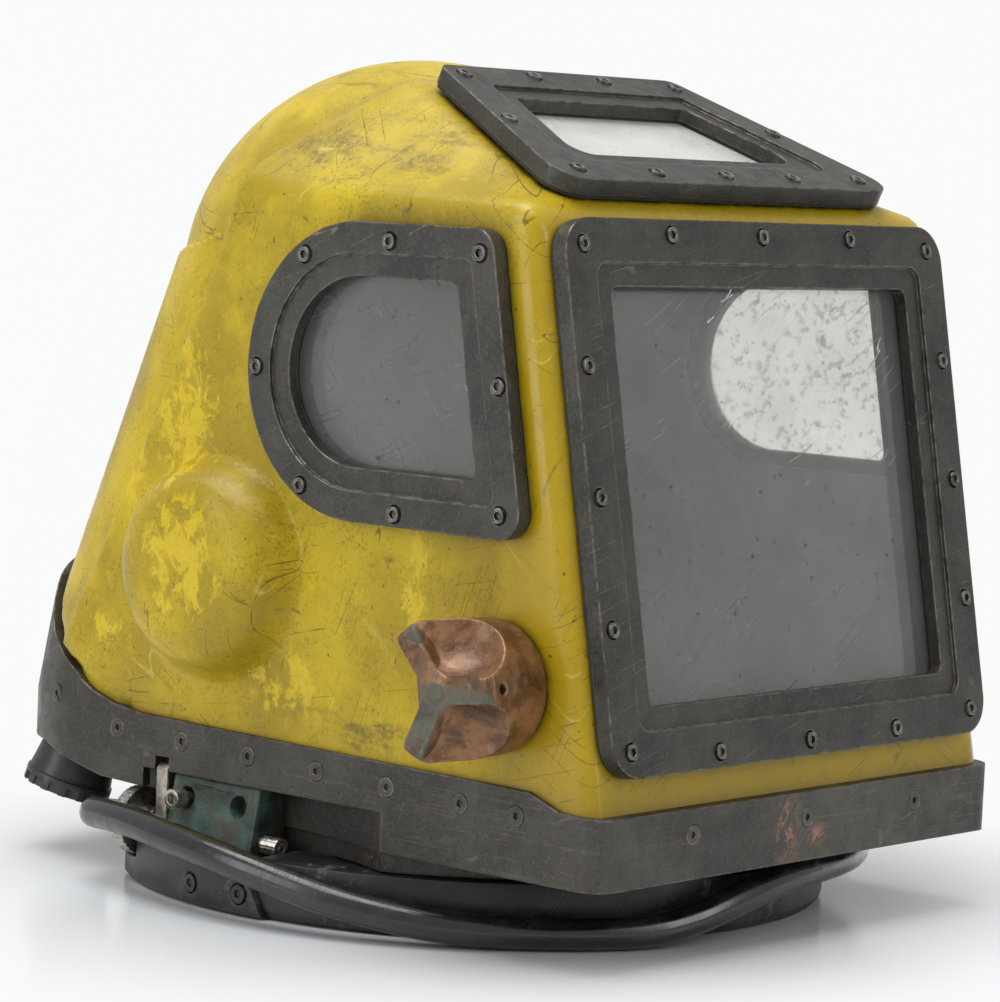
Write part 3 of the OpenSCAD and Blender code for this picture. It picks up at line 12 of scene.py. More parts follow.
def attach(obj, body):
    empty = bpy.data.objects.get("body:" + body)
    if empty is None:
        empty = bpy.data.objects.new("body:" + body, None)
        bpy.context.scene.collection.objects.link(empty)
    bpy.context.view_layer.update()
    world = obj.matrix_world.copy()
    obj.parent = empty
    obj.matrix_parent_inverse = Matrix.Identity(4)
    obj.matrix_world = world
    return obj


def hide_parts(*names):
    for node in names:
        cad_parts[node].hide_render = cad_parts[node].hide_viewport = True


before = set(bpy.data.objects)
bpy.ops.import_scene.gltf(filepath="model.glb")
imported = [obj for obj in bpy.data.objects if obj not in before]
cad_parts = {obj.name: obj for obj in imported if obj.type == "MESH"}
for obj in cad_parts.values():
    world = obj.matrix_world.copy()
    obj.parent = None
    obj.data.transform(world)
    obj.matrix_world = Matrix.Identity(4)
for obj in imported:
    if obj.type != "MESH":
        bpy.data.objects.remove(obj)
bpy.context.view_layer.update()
scene = bpy.context.scene


# Handling of pieces

MERGE_GAP = 0.000002  # vertices of a CAD copy this close are one
FLAT_FACES = math.radians(25)  # triangles that differ less make one face
SKEWED_FACES = math.radians(60)
STRAY_SHARE = 1.3  # share of a bevel's width that a corner may move
EASED_SMOOTH = 32


def only(piece):
    """Leaves this piece alone selected and active."""
    bpy.ops.object.select_all(action="DESELECT")
    piece.select_set(True)
    bpy.context.view_layer.objects.active = piece


def apply_modifier(piece, kind, **settings):
    only(piece)
    modifier = piece.modifiers.new(kind.lower(), kind)
    for key, value in settings.items():
        setattr(modifier, key, value)
    bpy.ops.object.modifier_apply(modifier=modifier.name)


def edit_all(piece):
    """Opens this piece's mesh for editing with everything selected."""
    only(piece)
    bpy.ops.object.mode_set(mode="EDIT")
    bpy.ops.mesh.select_all(action="SELECT")


def end_edit():
    bpy.ops.object.mode_set(mode="OBJECT")


def join_into(target, pieces):
    """Joins the pieces into the target."""
    bpy.ops.object.select_all(action="DESELECT")
    for piece in [*pieces, target]:
        piece.select_set(True)
    bpy.context.view_layer.objects.active = target
    bpy.ops.object.join()


def points_of(piece):
    """Places of the mesh's vertices, one row each."""
    points = np.zeros(len(piece.data.vertices) * 3)
    piece.data.vertices.foreach_get("co", points)
    return points.reshape(-1, 3)


def move_points(piece, points):
    piece.data.vertices.foreach_set("co", points.ravel())
    piece.data.update()


def smooth(piece, angle):
    only(piece)
    bpy.ops.object.shade_smooth_by_angle(angle=math.radians(angle))


def copy_of_node(node, name):
    """A merged copy of a CAD node's mesh, ready to be shaped."""
    piece = bpy.data.objects.new(name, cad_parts[node].data.copy())
    scene.collection.objects.link(piece)
    piece.data.materials.clear()
    edit_all(piece)
    bpy.ops.mesh.remove_doubles(threshold=MERGE_GAP)
    bpy.ops.mesh.customdata_custom_splitnormals_clear()
    end_edit()
    return piece


def dress(piece, body, slot, material, *nodes):
    """Gives a new piece its finish and body, and hides the CAD nodes that it stands for. The slot
    is not used.
    """
    piece.data.materials.clear()
    piece.data.materials.append(material)
    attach(piece, body)
    if nodes:
        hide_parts(*nodes)


def settle(piece, node, reach):
    """Puts corners that a bevel threw off the part back on its surface."""
    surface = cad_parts[node]
    for vertex in piece.data.vertices:
        found, place, normal, index = surface.closest_point_on_mesh(vertex.co)
        if found and (place - vertex.co).length > reach:
            vertex.co = place


def eased(node, width, body, slot, material, segments=2, angle=30):
    """A CAD piece with its sharp edges eased, as they are on the real casting."""
    piece = copy_of_node(node, node + "_eased")
    edit_all(piece)
    bpy.ops.mesh.tris_convert_to_quads(face_threshold=FLAT_FACES, shape_threshold=SKEWED_FACES)
    end_edit()
    apply_modifier(piece, "BEVEL", width=width, segments=segments, limit_method="ANGLE",
                   angle_limit=math.radians(angle), use_clamp_overlap=False)
    settle(piece, node, STRAY_SHARE * width)
    smooth(piece, EASED_SMOOTH)
    dress(piece, body, slot, material, node)


# Node trees for the finishes

class Tree:
    """Adds nodes to one node tree and joins them."""

    def __init__(self, tree, shader=None):
        self.nodes = tree.nodes
        self.links = tree.links
        self.shader = shader

    def add(self, kind, inputs=None, **settings):
        node = self.nodes.new(kind)
        for key, value in settings.items():
            setattr(node, key, value)
        for key, value in (inputs or {}).items():
            self.feed(node.inputs[key], value)
        return node

    def feed(self, socket, value):
        if isinstance(value, bpy.types.NodeSocket):
            self.links.new(value, socket)
        else:
            socket.default_value = value

    def math(self, operation, a, b=0.0, clamp=False):
        node = self.add("ShaderNodeMath", {0: a, 1: b}, operation=operation, use_clamp=clamp)
        return node.outputs[0]

    def set(self, name, value):
        """Feeds a socket of the finish's own shader."""
        self.feed(self.shader.inputs[name], value)

    def times(self, a, b):
        return self.math("MULTIPLY", a, b)

    def plus(self, a, b):
        return self.math("ADD", a, b)

    def minus(self, a, b, clamp=False):
        return self.math("SUBTRACT", a, b, clamp)

    def most(self, a, b):
        return self.math("MAXIMUM", a, b)

    def noise(self, where, scale, detail=3.0, rough=0.55, twist=0.0):
        node = self.add("ShaderNodeTexNoise", {"Vector": where, "Scale": scale,
                        "Detail": detail, "Roughness": rough, "Distortion": twist})
        return node.outputs["Fac"]

    def between(self, value, low, high, to_low=0.0, to_high=1.0):
        """Eases from to_low to_high while the value goes from low to high."""
        node = self.add("ShaderNodeMapRange", {"Value": value, "From Min": low,
                        "From Max": high, "To Min": to_low, "To Max": to_high},
                        interpolation_type="SMOOTHSTEP")
        return node.outputs[0]

    def blend(self, amount, first, second):
        """The first colour at 0 and the second at 1."""
        node = self.add("ShaderNodeMix", data_type="RGBA", blend_type="MIX")
        self.feed(node.inputs[0], amount)
        self.feed(node.inputs[6], first)
        self.feed(node.inputs[7], second)
        return node.outputs[2]

    def tint(self, colour, mask, share, other):
        """Lays a share of another colour over this one where the mask is 1."""
        return self.blend(self.times(mask, share), colour, other)

    def place(self, where, location=(0, 0, 0), turn=(0, 0, 0), scale=(1, 1, 1)):
        node = self.add("ShaderNodeMapping", {"Vector": where, "Location": location,
                        "Rotation": tuple(math.radians(a) for a in turn), "Scale": scale})
        return node.outputs[0]

    def near(self, where, centre, size):
        """1 at a spot and 0 outside an ellipsoid round it."""
        moved = self.add("ShaderNodeVectorMath", {0: where, 1: centre}, operation="SUBTRACT")
        scaled = self.add("ShaderNodeVectorMath", {0: moved.outputs[0], 1: size},
                          operation="DIVIDE")
        far = self.add("ShaderNodeVectorMath", {0: scaled.outputs[0]}, operation="LENGTH")
        return self.between(far.outputs["Value"], 1.0, 0.0)


NUMBER, TRIPLE = "NodeSocketFloat", "NodeSocketVector"


def new_group(name, inputs, outputs):
    """A shader node group with named sockets, its Tree and its two end nodes."""
    group = bpy.data.node_groups.new(name, "ShaderNodeTree")
    for label, kind, value in inputs:
        socket = group.interface.new_socket(name=label, in_out="INPUT", socket_type=kind)
        if value is not None:
            socket.default_value = value
    for label, kind in outputs:
        group.interface.new_socket(name=label, in_out="OUTPUT", socket_type=kind)
    tree = Tree(group)
    return group, tree, tree.add("NodeGroupInput"), tree.add("NodeGroupOutput")


def blotch_group():
    """Uneven patches with ragged borders."""
    group, t, source, end = new_group(
        "ragged_patches",
        [("Where", TRIPLE, None), ("Scale", NUMBER, 10.0), ("Cover", NUMBER, 0.5),
         ("Softness", NUMBER, 0.06)], [("Mask", NUMBER)])
    where, scale, cover, soft = source.outputs[:4]
    broad = t.noise(where, scale, 5.0, 0.62, 0.4)
    fine = t.noise(where, t.times(scale, 9.0), 4.0, 0.7)
    value = t.plus(t.times(broad, 0.78), t.times(fine, 0.22))
    edge = t.minus(1.0, cover)
    lifted = t.between(value, 0.3, 0.7)
    mask = t.between(lifted, t.minus(edge, soft), t.plus(edge, soft))
    t.feed(end.inputs[0], mask)
    return group


def scratch_group():
    """Thin straight scratches, broken into short runs that come in bunches."""
    group, t, source, end = new_group(
        "thin_scratches",
        [("Where", TRIPLE, None), ("Length", NUMBER, 6.0), ("Closeness", NUMBER, 130.0),
         ("Width", NUMBER, 0.012), ("Turn", TRIPLE, (0.0, 0.0, 0.0)), ("Cover", NUMBER, 0.5)],
        [("Mask", NUMBER)])
    where, length, close, width, turn, cover = source.outputs[:6]
    turned = t.add("ShaderNodeVectorRotate", {"Vector": where, "Rotation": turn},
                   rotation_type="EULER_XYZ")
    stretch = t.add("ShaderNodeCombineXYZ", {0: length, 1: length, 2: close})
    scaled = t.add("ShaderNodeVectorMath", {0: turned.outputs[0], 1: stretch.outputs[0]},
                   operation="MULTIPLY")
    line = t.math("ABSOLUTE", t.minus(t.noise(scaled.outputs[0], 1.0, 0.0), 0.5))
    uneven = t.noise(where, 170.0, 2.0, 0.6)
    thin = t.between(line, t.times(width, t.between(uneven, 0.3, 0.7, 0.35, 1.4)), 0.0)
    runs = t.noise(turned.outputs[0], t.times(length, 7.0), 2.0, 0.6)
    bunch = t.noise(where, 13.0, 2.0, 0.5)
    edge = t.minus(1.0, cover)
    broken = t.between(runs, t.minus(edge, 0.04), t.plus(edge, 0.05))
    bunched = t.between(bunch, 0.42, 0.56, 0.12, 1.0)
    t.feed(end.inputs[0], t.times(thin, t.times(broken, bunched)))
    return group


def edge_group():
    """Wear along edges: where the rounded normal departs from the true one."""
    group, t, source, end = new_group(
        "worn_edges",
        [("Where", TRIPLE, None), ("Reach", NUMBER, 0.0015), ("Start", NUMBER, 0.03),
         ("Full", NUMBER, 0.16), ("Breaks", NUMBER, 160.0)], [("Mask", NUMBER)])
    where, reach, start, full, breaks = source.outputs[:5]
    rounded = t.add("ShaderNodeBevel", {"Radius": reach}, samples=6)
    true = t.add("ShaderNodeNewGeometry")
    along = t.add("ShaderNodeVectorMath", {0: rounded.outputs[0], 1: true.outputs["Normal"]},
                  operation="DOT_PRODUCT")
    apart = t.minus(1.0, along.outputs["Value"])
    broken = t.between(t.noise(where, breaks, 4.0, 0.65), 0.36, 0.62)
    mask = t.times(t.between(apart, start, full), broken)
    t.feed(end.inputs[0], mask)
    return group


def crevice_group():
    """Ambient occlusion, broken up: 1 in corners and against neighbours, where shade falls. It
    places painted shade there, and on the knob the patina in its hollows.
    """
    group, t, source, end = new_group(
        "crevice_occlusion",
        [("Where", TRIPLE, None), ("Reach", NUMBER, 0.006), ("Breaks", NUMBER, 90.0)],
        [("Mask", NUMBER)])
    where, reach, breaks = source.outputs[:3]
    shade = t.add("ShaderNodeAmbientOcclusion", {"Distance": reach}, samples=6)
    dark = t.minus(1.0, shade.outputs["AO"])
    broken = t.between(t.noise(where, breaks, 4.0, 0.65), 0.3, 0.6, 0.25, 1.0)
    t.feed(end.inputs[0], t.times(t.between(dark, 0.25, 0.8), broken))
    return group


RAGGED = blotch_group()
SCRATCH = scratch_group()
EDGES = edge_group()
OCCLUSION_MASK = crevice_group()


def new_finish(name, **settings):
    """A material with the Tree of its Principled shader and the piece's own coordinates."""
    material = bpy.data.materials.new(name)
    material.use_nodes = True
    t = Tree(material.node_tree, material.node_tree.nodes["Principled BSDF"])
    for key, value in settings.items():
        t.shader.inputs[key.replace("_", " ")].default_value = value
    where = t.add("ShaderNodeTexCoord").outputs["Object"]
    return material, t, where


def use_group(t, group, **inputs):
    node = t.add("ShaderNodeGroup", {}, node_tree=group)
    for key, value in inputs.items():
        t.feed(node.inputs[key], value)
    return node.outputs[0]


def scratches(t, where, length, close, width, turn, cover):
    return use_group(t, SCRATCH, Where=where, Length=length, Closeness=close, Width=width,
                     Turn=tuple(math.radians(a) for a in turn), Cover=cover)


def bump(t, height, distance, strength=1.0, under=None):
    node = t.add("ShaderNodeBump", {"Height": height, "Distance": distance,
                                    "Strength": strength})
    if under is not None:
        t.feed(node.inputs["Normal"], under)
    t.set("Normal", node.outputs[0])


def any_spot(t, where, spots):
    """1 near any of the spots: each is a centre and half lengths, in metres."""
    mask = 0.0
    for centre, size in spots:
        mask = t.most(t.near(where, centre, size), mask)
    return mask


# Where the film is rubbed off, and where soot and dirt lie, on the wearer's right
RUBBED_SPOTS = [((-0.130, 0.052, 0.190), (0.03, 0.030, 0.050)),
                ((-0.130, 0.085, 0.172), (0.03, 0.012, 0.040)),
                ((-0.128, -0.073, 0.139), (0.02, 0.010, 0.045)),
                ((-0.130, -0.010, 0.090), (0.02, 0.040, 0.020)),
                ((-0.128, 0.098, 0.101), (0.02, 0.022, 0.010)),
                ((-0.148, 0.034, 0.137), (0.02, 0.032, 0.038)),
                ((-0.126, -0.108, 0.215), (0.02, 0.012, 0.060))]
CHIP_SPOT = (-0.1237, -0.1139, 0.2772)
SOOT_SPOTS = [((-0.094, -0.041, 0.312), (0.05, 0.050, 0.030)),
              ((-0.110, -0.020, 0.300), (0.03, 0.070, 0.020)),
              ((-0.060, 0.020, 0.335), (0.06, 0.040, 0.030)),
              ((-0.128, -0.045, 0.078), (0.02, 0.050, 0.016)),
              ((-0.128, 0.088, 0.205), (0.02, 0.020, 0.050)),
              ((-0.060, -0.165, 0.062), (0.07, 0.020, 0.012))]


def yellow_gelcoat():
    """Moulded yellow shell: strong yellow gelcoat under an olive film, rubbed and scratched, with
    painted shade on its front face and in its corners.
    """
    material, t, where = new_finish("worn_yellow_gelcoat", IOR=1.5, Specular_IOR_Level=0.32,
                                    Coat_Roughness=0.07)
    parts = t.add("ShaderNodeSeparateXYZ", {0: where})
    height, forward = parts.outputs["Z"], parts.outputs["Y"]
    clean = (0.74, 0.53, 0.008, 1)
    # the clean yellow made darker: painted shade for the front face, which takes less light
    less_lit = (0.50, 0.33, 0.004, 1)
    tone = t.noise(where, 17.0, 5.0, 0.62)
    film_tone = t.blend(t.between(tone, 0.36, 0.64), (0.40, 0.285, 0.012, 1),
                        (0.60, 0.435, 0.014, 1))
    # broad ragged patches where the film is gone, mostly at places that are handled
    front = t.between(forward, -0.112, -0.126)
    placed = any_spot(t, where, RUBBED_SPOTS)
    ragged = t.noise(t.place(where, turn=(25, 0, 0), scale=(1, 1.25, 0.9)), 88.0, 8.0, 0.76, 0.5)
    held = t.plus(ragged, t.times(placed, 0.15))
    rubbed = t.times(t.between(held, 0.56, 0.64), t.between(placed, 0.0, 0.4, 0.25, 0.80))
    rubbed = t.most(rubbed, t.times(front, 0.85))
    # bare gelcoat where the film is worn off; on the front face it takes the darker copy, as
    # painted shade
    colour = t.blend(rubbed, film_tone, t.blend(front, clean, less_lit))
    # fine granular film
    grain = t.noise(where, 760.0, 4.0, 0.8)
    grains = t.times(t.between(grain, 0.50, 0.64),
                     t.between(t.noise(where, 48.0, 6.0, 0.7), 0.40, 0.64, 0.25, 1.0))
    grains = t.times(grains, t.between(rubbed, 0.0, 1.0, 1.0, 0.35))
    colour = t.tint(colour, grains, 0.8, (0.20, 0.13, 0.010, 1))
    # soot over the crown, at the rear and above the band
    sooty = any_spot(t, where, SOOT_SPOTS)
    smear = t.noise(t.place(where, turn=(0, 20, 35), scale=(1, 0.4, 1)), 52.0, 6.0, 0.7, 0.4)
    dirty = t.times(t.between(smear, 0.50, 0.60), t.between(sooty, 0.0, 0.7, 0.10, 0.95))
    dirty = t.times(dirty, t.between(t.noise(where, 420.0, 4.0, 0.75), 0.36, 0.60))
    colour = t.tint(colour, dirty, 0.80, (0.085, 0.062, 0.022, 1))
    haze = t.times(sooty, t.between(smear, 0.35, 0.65, 0.15, 0.65))
    colour = t.tint(colour, haze, 0.55, (0.26, 0.20, 0.035, 1))
    # rust-brown specks
    specks = t.between(t.noise(where, 360.0, 2.0, 0.5), 0.71, 0.76)
    colour = t.tint(colour, specks, 0.75, (0.10, 0.045, 0.012, 1))
    # scratches: dark dirt-filled ones and pale fresh ones
    dark = scratches(t, where, 5.0, 120.0, 0.010, (12, 35, 25), 0.47)
    dark_b = scratches(t, where, 7.0, 150.0, 0.010, (70, -20, 70), 0.45)
    dark_c = scratches(t, where, 6.0, 95.0, 0.007, (-35, 15, -50), 0.46)
    cuts = t.most(t.most(dark, dark_b), dark_c)
    colour = t.tint(colour, cuts, 0.75, (0.09, 0.06, 0.014, 1))
    pale = scratches(t, where, 6.0, 110.0, 0.008, (-40, 60, 10), 0.46)
    colour = t.tint(colour, pale, 0.40, (0.80, 0.66, 0.18, 1))
    # the one deep chip, at the corner above the side window
    chip = t.near(where, CHIP_SPOT, (0.006, 0.004, 0.005))
    chip = t.between(t.plus(chip, t.times(ragged, 0.6)), 0.62, 0.70)
    chip = t.times(chip, t.near(where, CHIP_SPOT, (0.009, 0.007, 0.008)))
    colour = t.blend(chip, colour, (0.20, 0.185, 0.15, 1))
    # painted shade: the yellow darkened in corners and against the frames and band, by ambient
    # occlusion
    crevice_shade = use_group(t, OCCLUSION_MASK, Where=where, Reach=0.008, Breaks=110.0)
    colour = t.tint(colour, crevice_shade, 0.8, (0.075, 0.05, 0.014, 1))
    low = t.between(height, 0.085, 0.060, 0.0, 0.45)
    colour = t.blend(low, colour, (0.28, 0.19, 0.012, 1))
    t.set("Base Color", colour)
    rough = t.between(t.noise(where, 60.0, 4.0, 0.6), 0.3, 0.7, 0.26, 0.44)
    rough = t.minus(rough, t.times(rubbed, 0.09))
    rough = t.plus(rough, t.times(grains, 0.2))
    t.set("Roughness", rough)
    t.set("Coat Weight", t.times(rubbed, 0.30))
    waves = t.noise(where, 22.0, 2.0, 0.5)
    rise = t.minus(t.times(waves, 0.6), t.plus(t.times(cuts, 0.14), t.times(grains, 0.03)))
    bump(t, rise, 0.0009, 0.8)
    return material


def oxidised_bronze(name, dark, light, wear_colour, wear, scale=1.0, brushed=False,
                    copper_spots=()):
    """Cast bronze gone grey-brown, worn at its edges, with a little green."""
    material, t, where = new_finish(name, IOR=1.6)
    broad = t.noise(where, 26.0 * scale, 6.0, 0.68, 0.3)
    colour = t.blend(t.between(broad, 0.34, 0.68), dark, light)
    warm = use_group(t, RAGGED, Where=where, Scale=34.0 * scale, Cover=0.30, Softness=0.12)
    colour = t.tint(colour, warm, 0.45, (0.058, 0.044, 0.028, 1))
    green = use_group(t, RAGGED, Where=t.place(where, location=(0.3, 0.1, 0.2)),
                      Scale=42.0 * scale, Cover=0.2, Softness=0.1)
    colour = t.tint(colour, green, 0.30, (0.030, 0.052, 0.040, 1))
    speck = t.between(t.noise(where, 820.0, 3.0, 0.75), 0.50, 0.72)
    colour = t.tint(colour, speck, 0.45, (0.13, 0.125, 0.105, 1))
    pits = t.between(t.noise(where, 520.0, 2.0, 0.6), 0.62, 0.70)
    colour = t.tint(colour, pits, 0.6, (0.02, 0.018, 0.015, 1))
    edge = use_group(t, EDGES, Where=where, Reach=0.0016, Start=0.03, Full=0.2,
                     Breaks=190.0)
    cut = scratches(t, where, 6.0, 130.0, 0.010, (25, 15, 80), 0.46)
    if brushed:
        fine = scratches(t, where, 9.0, 700.0, 0.05, (0, 0, 0), 0.6)
        cut = t.most(cut, t.times(fine, 0.35))
    bare = t.most(t.times(edge, wear), t.times(cut, 0.4))
    colour = t.blend(bare, colour, wear_colour)
    if copper_spots:
        zig = scratches(t, where, 9.0, 190.0, 0.05, (0, 50, 0), 0.62)
        rub = t.between(t.noise(where, 300.0, 4.0, 0.7), 0.50, 0.60)
        marks = t.times(t.most(zig, t.times(rub, 0.7)), any_spot(t, where, copper_spots))
        colour = t.blend(marks, colour, (0.42, 0.19, 0.105, 1))
    # painted shade: the bronze darkened in corners and against neighbouring parts, by ambient
    # occlusion
    crevice_shade = use_group(t, OCCLUSION_MASK, Where=where, Reach=0.004, Breaks=140.0)
    colour = t.tint(colour, crevice_shade, 0.6, (0.022, 0.019, 0.014, 1))
    t.set("Base Color", colour)
    t.set("Metallic", t.between(bare, 0.0, 1.0, 0.30, 0.85))
    rough = t.between(t.noise(where, 120.0, 4.0, 0.65), 0.3, 0.7, 0.34, 0.54)
    t.set("Roughness", t.minus(rough, t.times(bare, 0.15)))
    rise = t.plus(t.times(t.noise(where, 300.0, 5.0, 0.7), 0.5), t.times(broad, 0.5))
    rise = t.minus(rise, t.plus(t.times(pits, 0.2), t.times(cut, 0.25)))
    soft_edge = t.add("ShaderNodeBevel", {"Radius": 0.0010}, samples=6)
    bump(t, rise, 0.0005, 0.9, soft_edge.outputs[0])
    return material


def scratched_pane(name, clear, rough_low, rough_high, spotted=0.66):
    """Clear acrylic, hazed, scratched and spotted."""
    material, t, where = new_finish(name, IOR=1.49)
    t.set("Transmission Weight", clear)
    haze = t.noise(where, 30.0, 5.0, 0.6)
    colour = t.blend(t.between(haze, 0.3, 0.7), (0.84, 0.84, 0.81, 1), (0.95, 0.95, 0.92, 1))
    spots = t.between(t.noise(where, 210.0, 3.0, 0.6), spotted, spotted + 0.08)
    colour = t.tint(colour, spots, 0.7, (0.16, 0.13, 0.09, 1))
    t.set("Base Color", colour)
    a = scratches(t, where, 7.0, 150.0, 0.010, (20, 30, 60), 0.44)
    b = scratches(t, where, 6.0, 110.0, 0.008, (-50, 10, 15), 0.43)
    cuts = t.most(a, b)
    rough = t.between(haze, 0.3, 0.7, rough_low, rough_high)
    t.set("Roughness", t.plus(rough, t.times(cuts, 0.3)))
    bump(t, cuts, 0.0002, 0.6)
    return material


def painted_black(name, paint, bare_colour, chips, rough_low=0.28, rough_high=0.48, wear=0.8):
    """Black paint chipped and rubbed to the grey metal under it."""
    material, t, where = new_finish(name, IOR=1.5)
    shade = t.noise(where, 45.0, 5.0, 0.65)
    lighter = tuple(min(c * 1.9 + 0.006, 1) for c in paint[:3]) + (1,)
    colour = t.blend(t.between(shade, 0.35, 0.7), paint, lighter)
    chip = use_group(t, RAGGED, Where=where, Scale=48.0, Cover=chips, Softness=0.02)
    chip_small = t.between(t.noise(where, 420.0, 3.0, 0.7), 0.67, 0.71)
    edge = use_group(t, EDGES, Where=where, Reach=0.0014, Start=0.04, Full=0.2,
                     Breaks=210.0)
    bare = t.most(t.most(chip, t.times(edge, wear)), t.times(chip_small, 0.6))
    metal = t.blend(t.noise(where, 260.0, 4.0, 0.7), bare_colour,
                    tuple(c * 0.45 for c in bare_colour[:3]) + (1,))
    colour = t.blend(bare, colour, metal)
    cut = scratches(t, where, 7.0, 140.0, 0.010, (15, 60, 10), 0.48)
    colour = t.tint(colour, cut, 0.5, (0.22, 0.21, 0.20, 1))
    t.set("Base Color", colour)
    t.set("Metallic", t.times(bare, 0.5))
    rough = t.between(shade, 0.3, 0.7, rough_low, rough_high)
    t.set("Roughness", t.plus(rough, t.times(bare, 0.15)))
    rise = t.minus(t.times(t.noise(where, 180.0, 4.0, 0.6), 0.3),
                   t.plus(t.times(bare, 0.4), t.times(cut, 0.2)))
    bump(t, rise, 0.0003, 0.8)
    return material


def copper_knob():
    """Brown copper casting with green in its hollows and on its face."""
    material, t, where = new_finish("browned_copper", IOR=1.6)
    parts = t.add("ShaderNodeSeparateXYZ", {0: where})
    tone = t.noise(where, 60.0, 6.0, 0.65, 0.5)
    colour = t.blend(t.between(tone, 0.32, 0.68), (0.115, 0.055, 0.026, 1),
                     (0.34, 0.165, 0.075, 1))
    pale = t.noise(where, 130.0, 4.0, 0.6)
    colour = t.blend(t.between(pale, 0.52, 0.72, 0.0, 0.5), colour, (0.46, 0.26, 0.15, 1))
    outer = t.between(parts.outputs["X"], -0.1595, -0.1635)
    green_patch = use_group(t, RAGGED, Where=where, Scale=52.0, Cover=0.62, Softness=0.16)
    less_lit = use_group(t, OCCLUSION_MASK, Where=where, Reach=0.010, Breaks=120.0)
    green = t.times(t.most(t.times(outer, 0.9), less_lit), green_patch)
    patina = t.blend(t.noise(where, 240.0, 4.0, 0.7), (0.030, 0.050, 0.038, 1),
                     (0.125, 0.145, 0.108, 1))
    colour = t.blend(green, colour, patina)
    dark = use_group(t, RAGGED, Where=t.place(where, location=(0.2, 0, 0.4)), Scale=70.0,
                     Cover=0.3, Softness=0.1)
    colour = t.tint(colour, dark, 0.55, (0.045, 0.026, 0.016, 1))
    edge = use_group(t, EDGES, Where=where, Reach=0.002, Start=0.02, Full=0.14, Breaks=240.0)
    colour = t.tint(colour, edge, 0.7, (0.62, 0.40, 0.27, 1))
    t.set("Base Color", colour)
    t.set("Metallic", t.minus(0.55, t.times(green, 0.45), clamp=True))
    rough = t.between(tone, 0.3, 0.7, 0.26, 0.44)
    t.set("Roughness", t.plus(rough, t.times(green, 0.3)))
    rise = t.plus(t.times(t.noise(where, 210.0, 5.0, 0.65), 0.4), t.times(tone, 0.8))
    bump(t, rise, 0.0006, 0.9)
    return material


def green_casting():
    """Latch casting under dark green patina."""
    material, t, where = new_finish("green_patina", IOR=1.5)
    tone = t.noise(where, 90.0, 6.0, 0.68)
    colour = t.blend(t.between(tone, 0.32, 0.68), (0.018, 0.032, 0.028, 1),
                     (0.085, 0.155, 0.125, 1))
    brown = use_group(t, RAGGED, Where=where, Scale=75.0, Cover=0.34, Softness=0.1)
    colour = t.tint(colour, brown, 0.8, (0.075, 0.062, 0.045, 1))
    edge = use_group(t, EDGES, Where=where, Reach=0.0013, Start=0.03, Full=0.18, Breaks=260.0)
    colour = t.tint(colour, edge, 0.55, (0.30, 0.27, 0.20, 1))
    t.set("Base Color", colour)
    t.set("Metallic", t.times(edge, 0.6))
    t.set("Roughness", t.between(tone, 0.3, 0.7, 0.45, 0.7))
    bump(t, t.noise(where, 330.0, 5.0, 0.7), 0.0005, 0.8)
    return material


def bright_metal(name, light, dark, low, high, stain=0.4, bands=600.0):
    """Turned or rolled metal, dulled and stained."""
    material, t, where = new_finish(name, Metallic=0.9)
    tone = t.noise(where, 150.0, 5.0, 0.65)
    colour = t.blend(t.between(tone, 0.35, 0.65), dark, light)
    stained = use_group(t, RAGGED, Where=where, Scale=110.0, Cover=stain, Softness=0.1)
    colour = t.tint(colour, stained, 0.7, (0.06, 0.05, 0.038, 1))
    t.set("Base Color", colour)
    rough = t.between(tone, 0.3, 0.7, low, high)
    t.set("Roughness", t.plus(rough, t.times(stained, 0.2)))
    bump(t, t.noise(where, bands, 3.0, 0.6), 0.00012, 0.6)
    return material


def socket_screw():
    """Dark socket screw whose rim is rubbed bright."""
    material, t, where = new_finish("rubbed_socket_screw", IOR=1.6)
    tone = t.noise(where, 300.0, 4.0, 0.65)
    colour = t.blend(t.between(tone, 0.35, 0.65), (0.055, 0.052, 0.046, 1),
                     (0.20, 0.19, 0.17, 1))
    edge = use_group(t, EDGES, Where=where, Reach=0.0006, Start=0.015, Full=0.12, Breaks=420.0)
    colour = t.tint(colour, edge, 0.9, (0.66, 0.63, 0.57, 1))
    t.set("Base Color", colour)
    t.set("Metallic", t.between(edge, 0.0, 1.0, 0.6, 0.95))
    t.set("Roughness", t.between(tone, 0.3, 0.7, 0.28, 0.5))
    bump(t, t.noise(where, 700.0, 3.0, 0.6), 0.0001, 0.6)
    return material


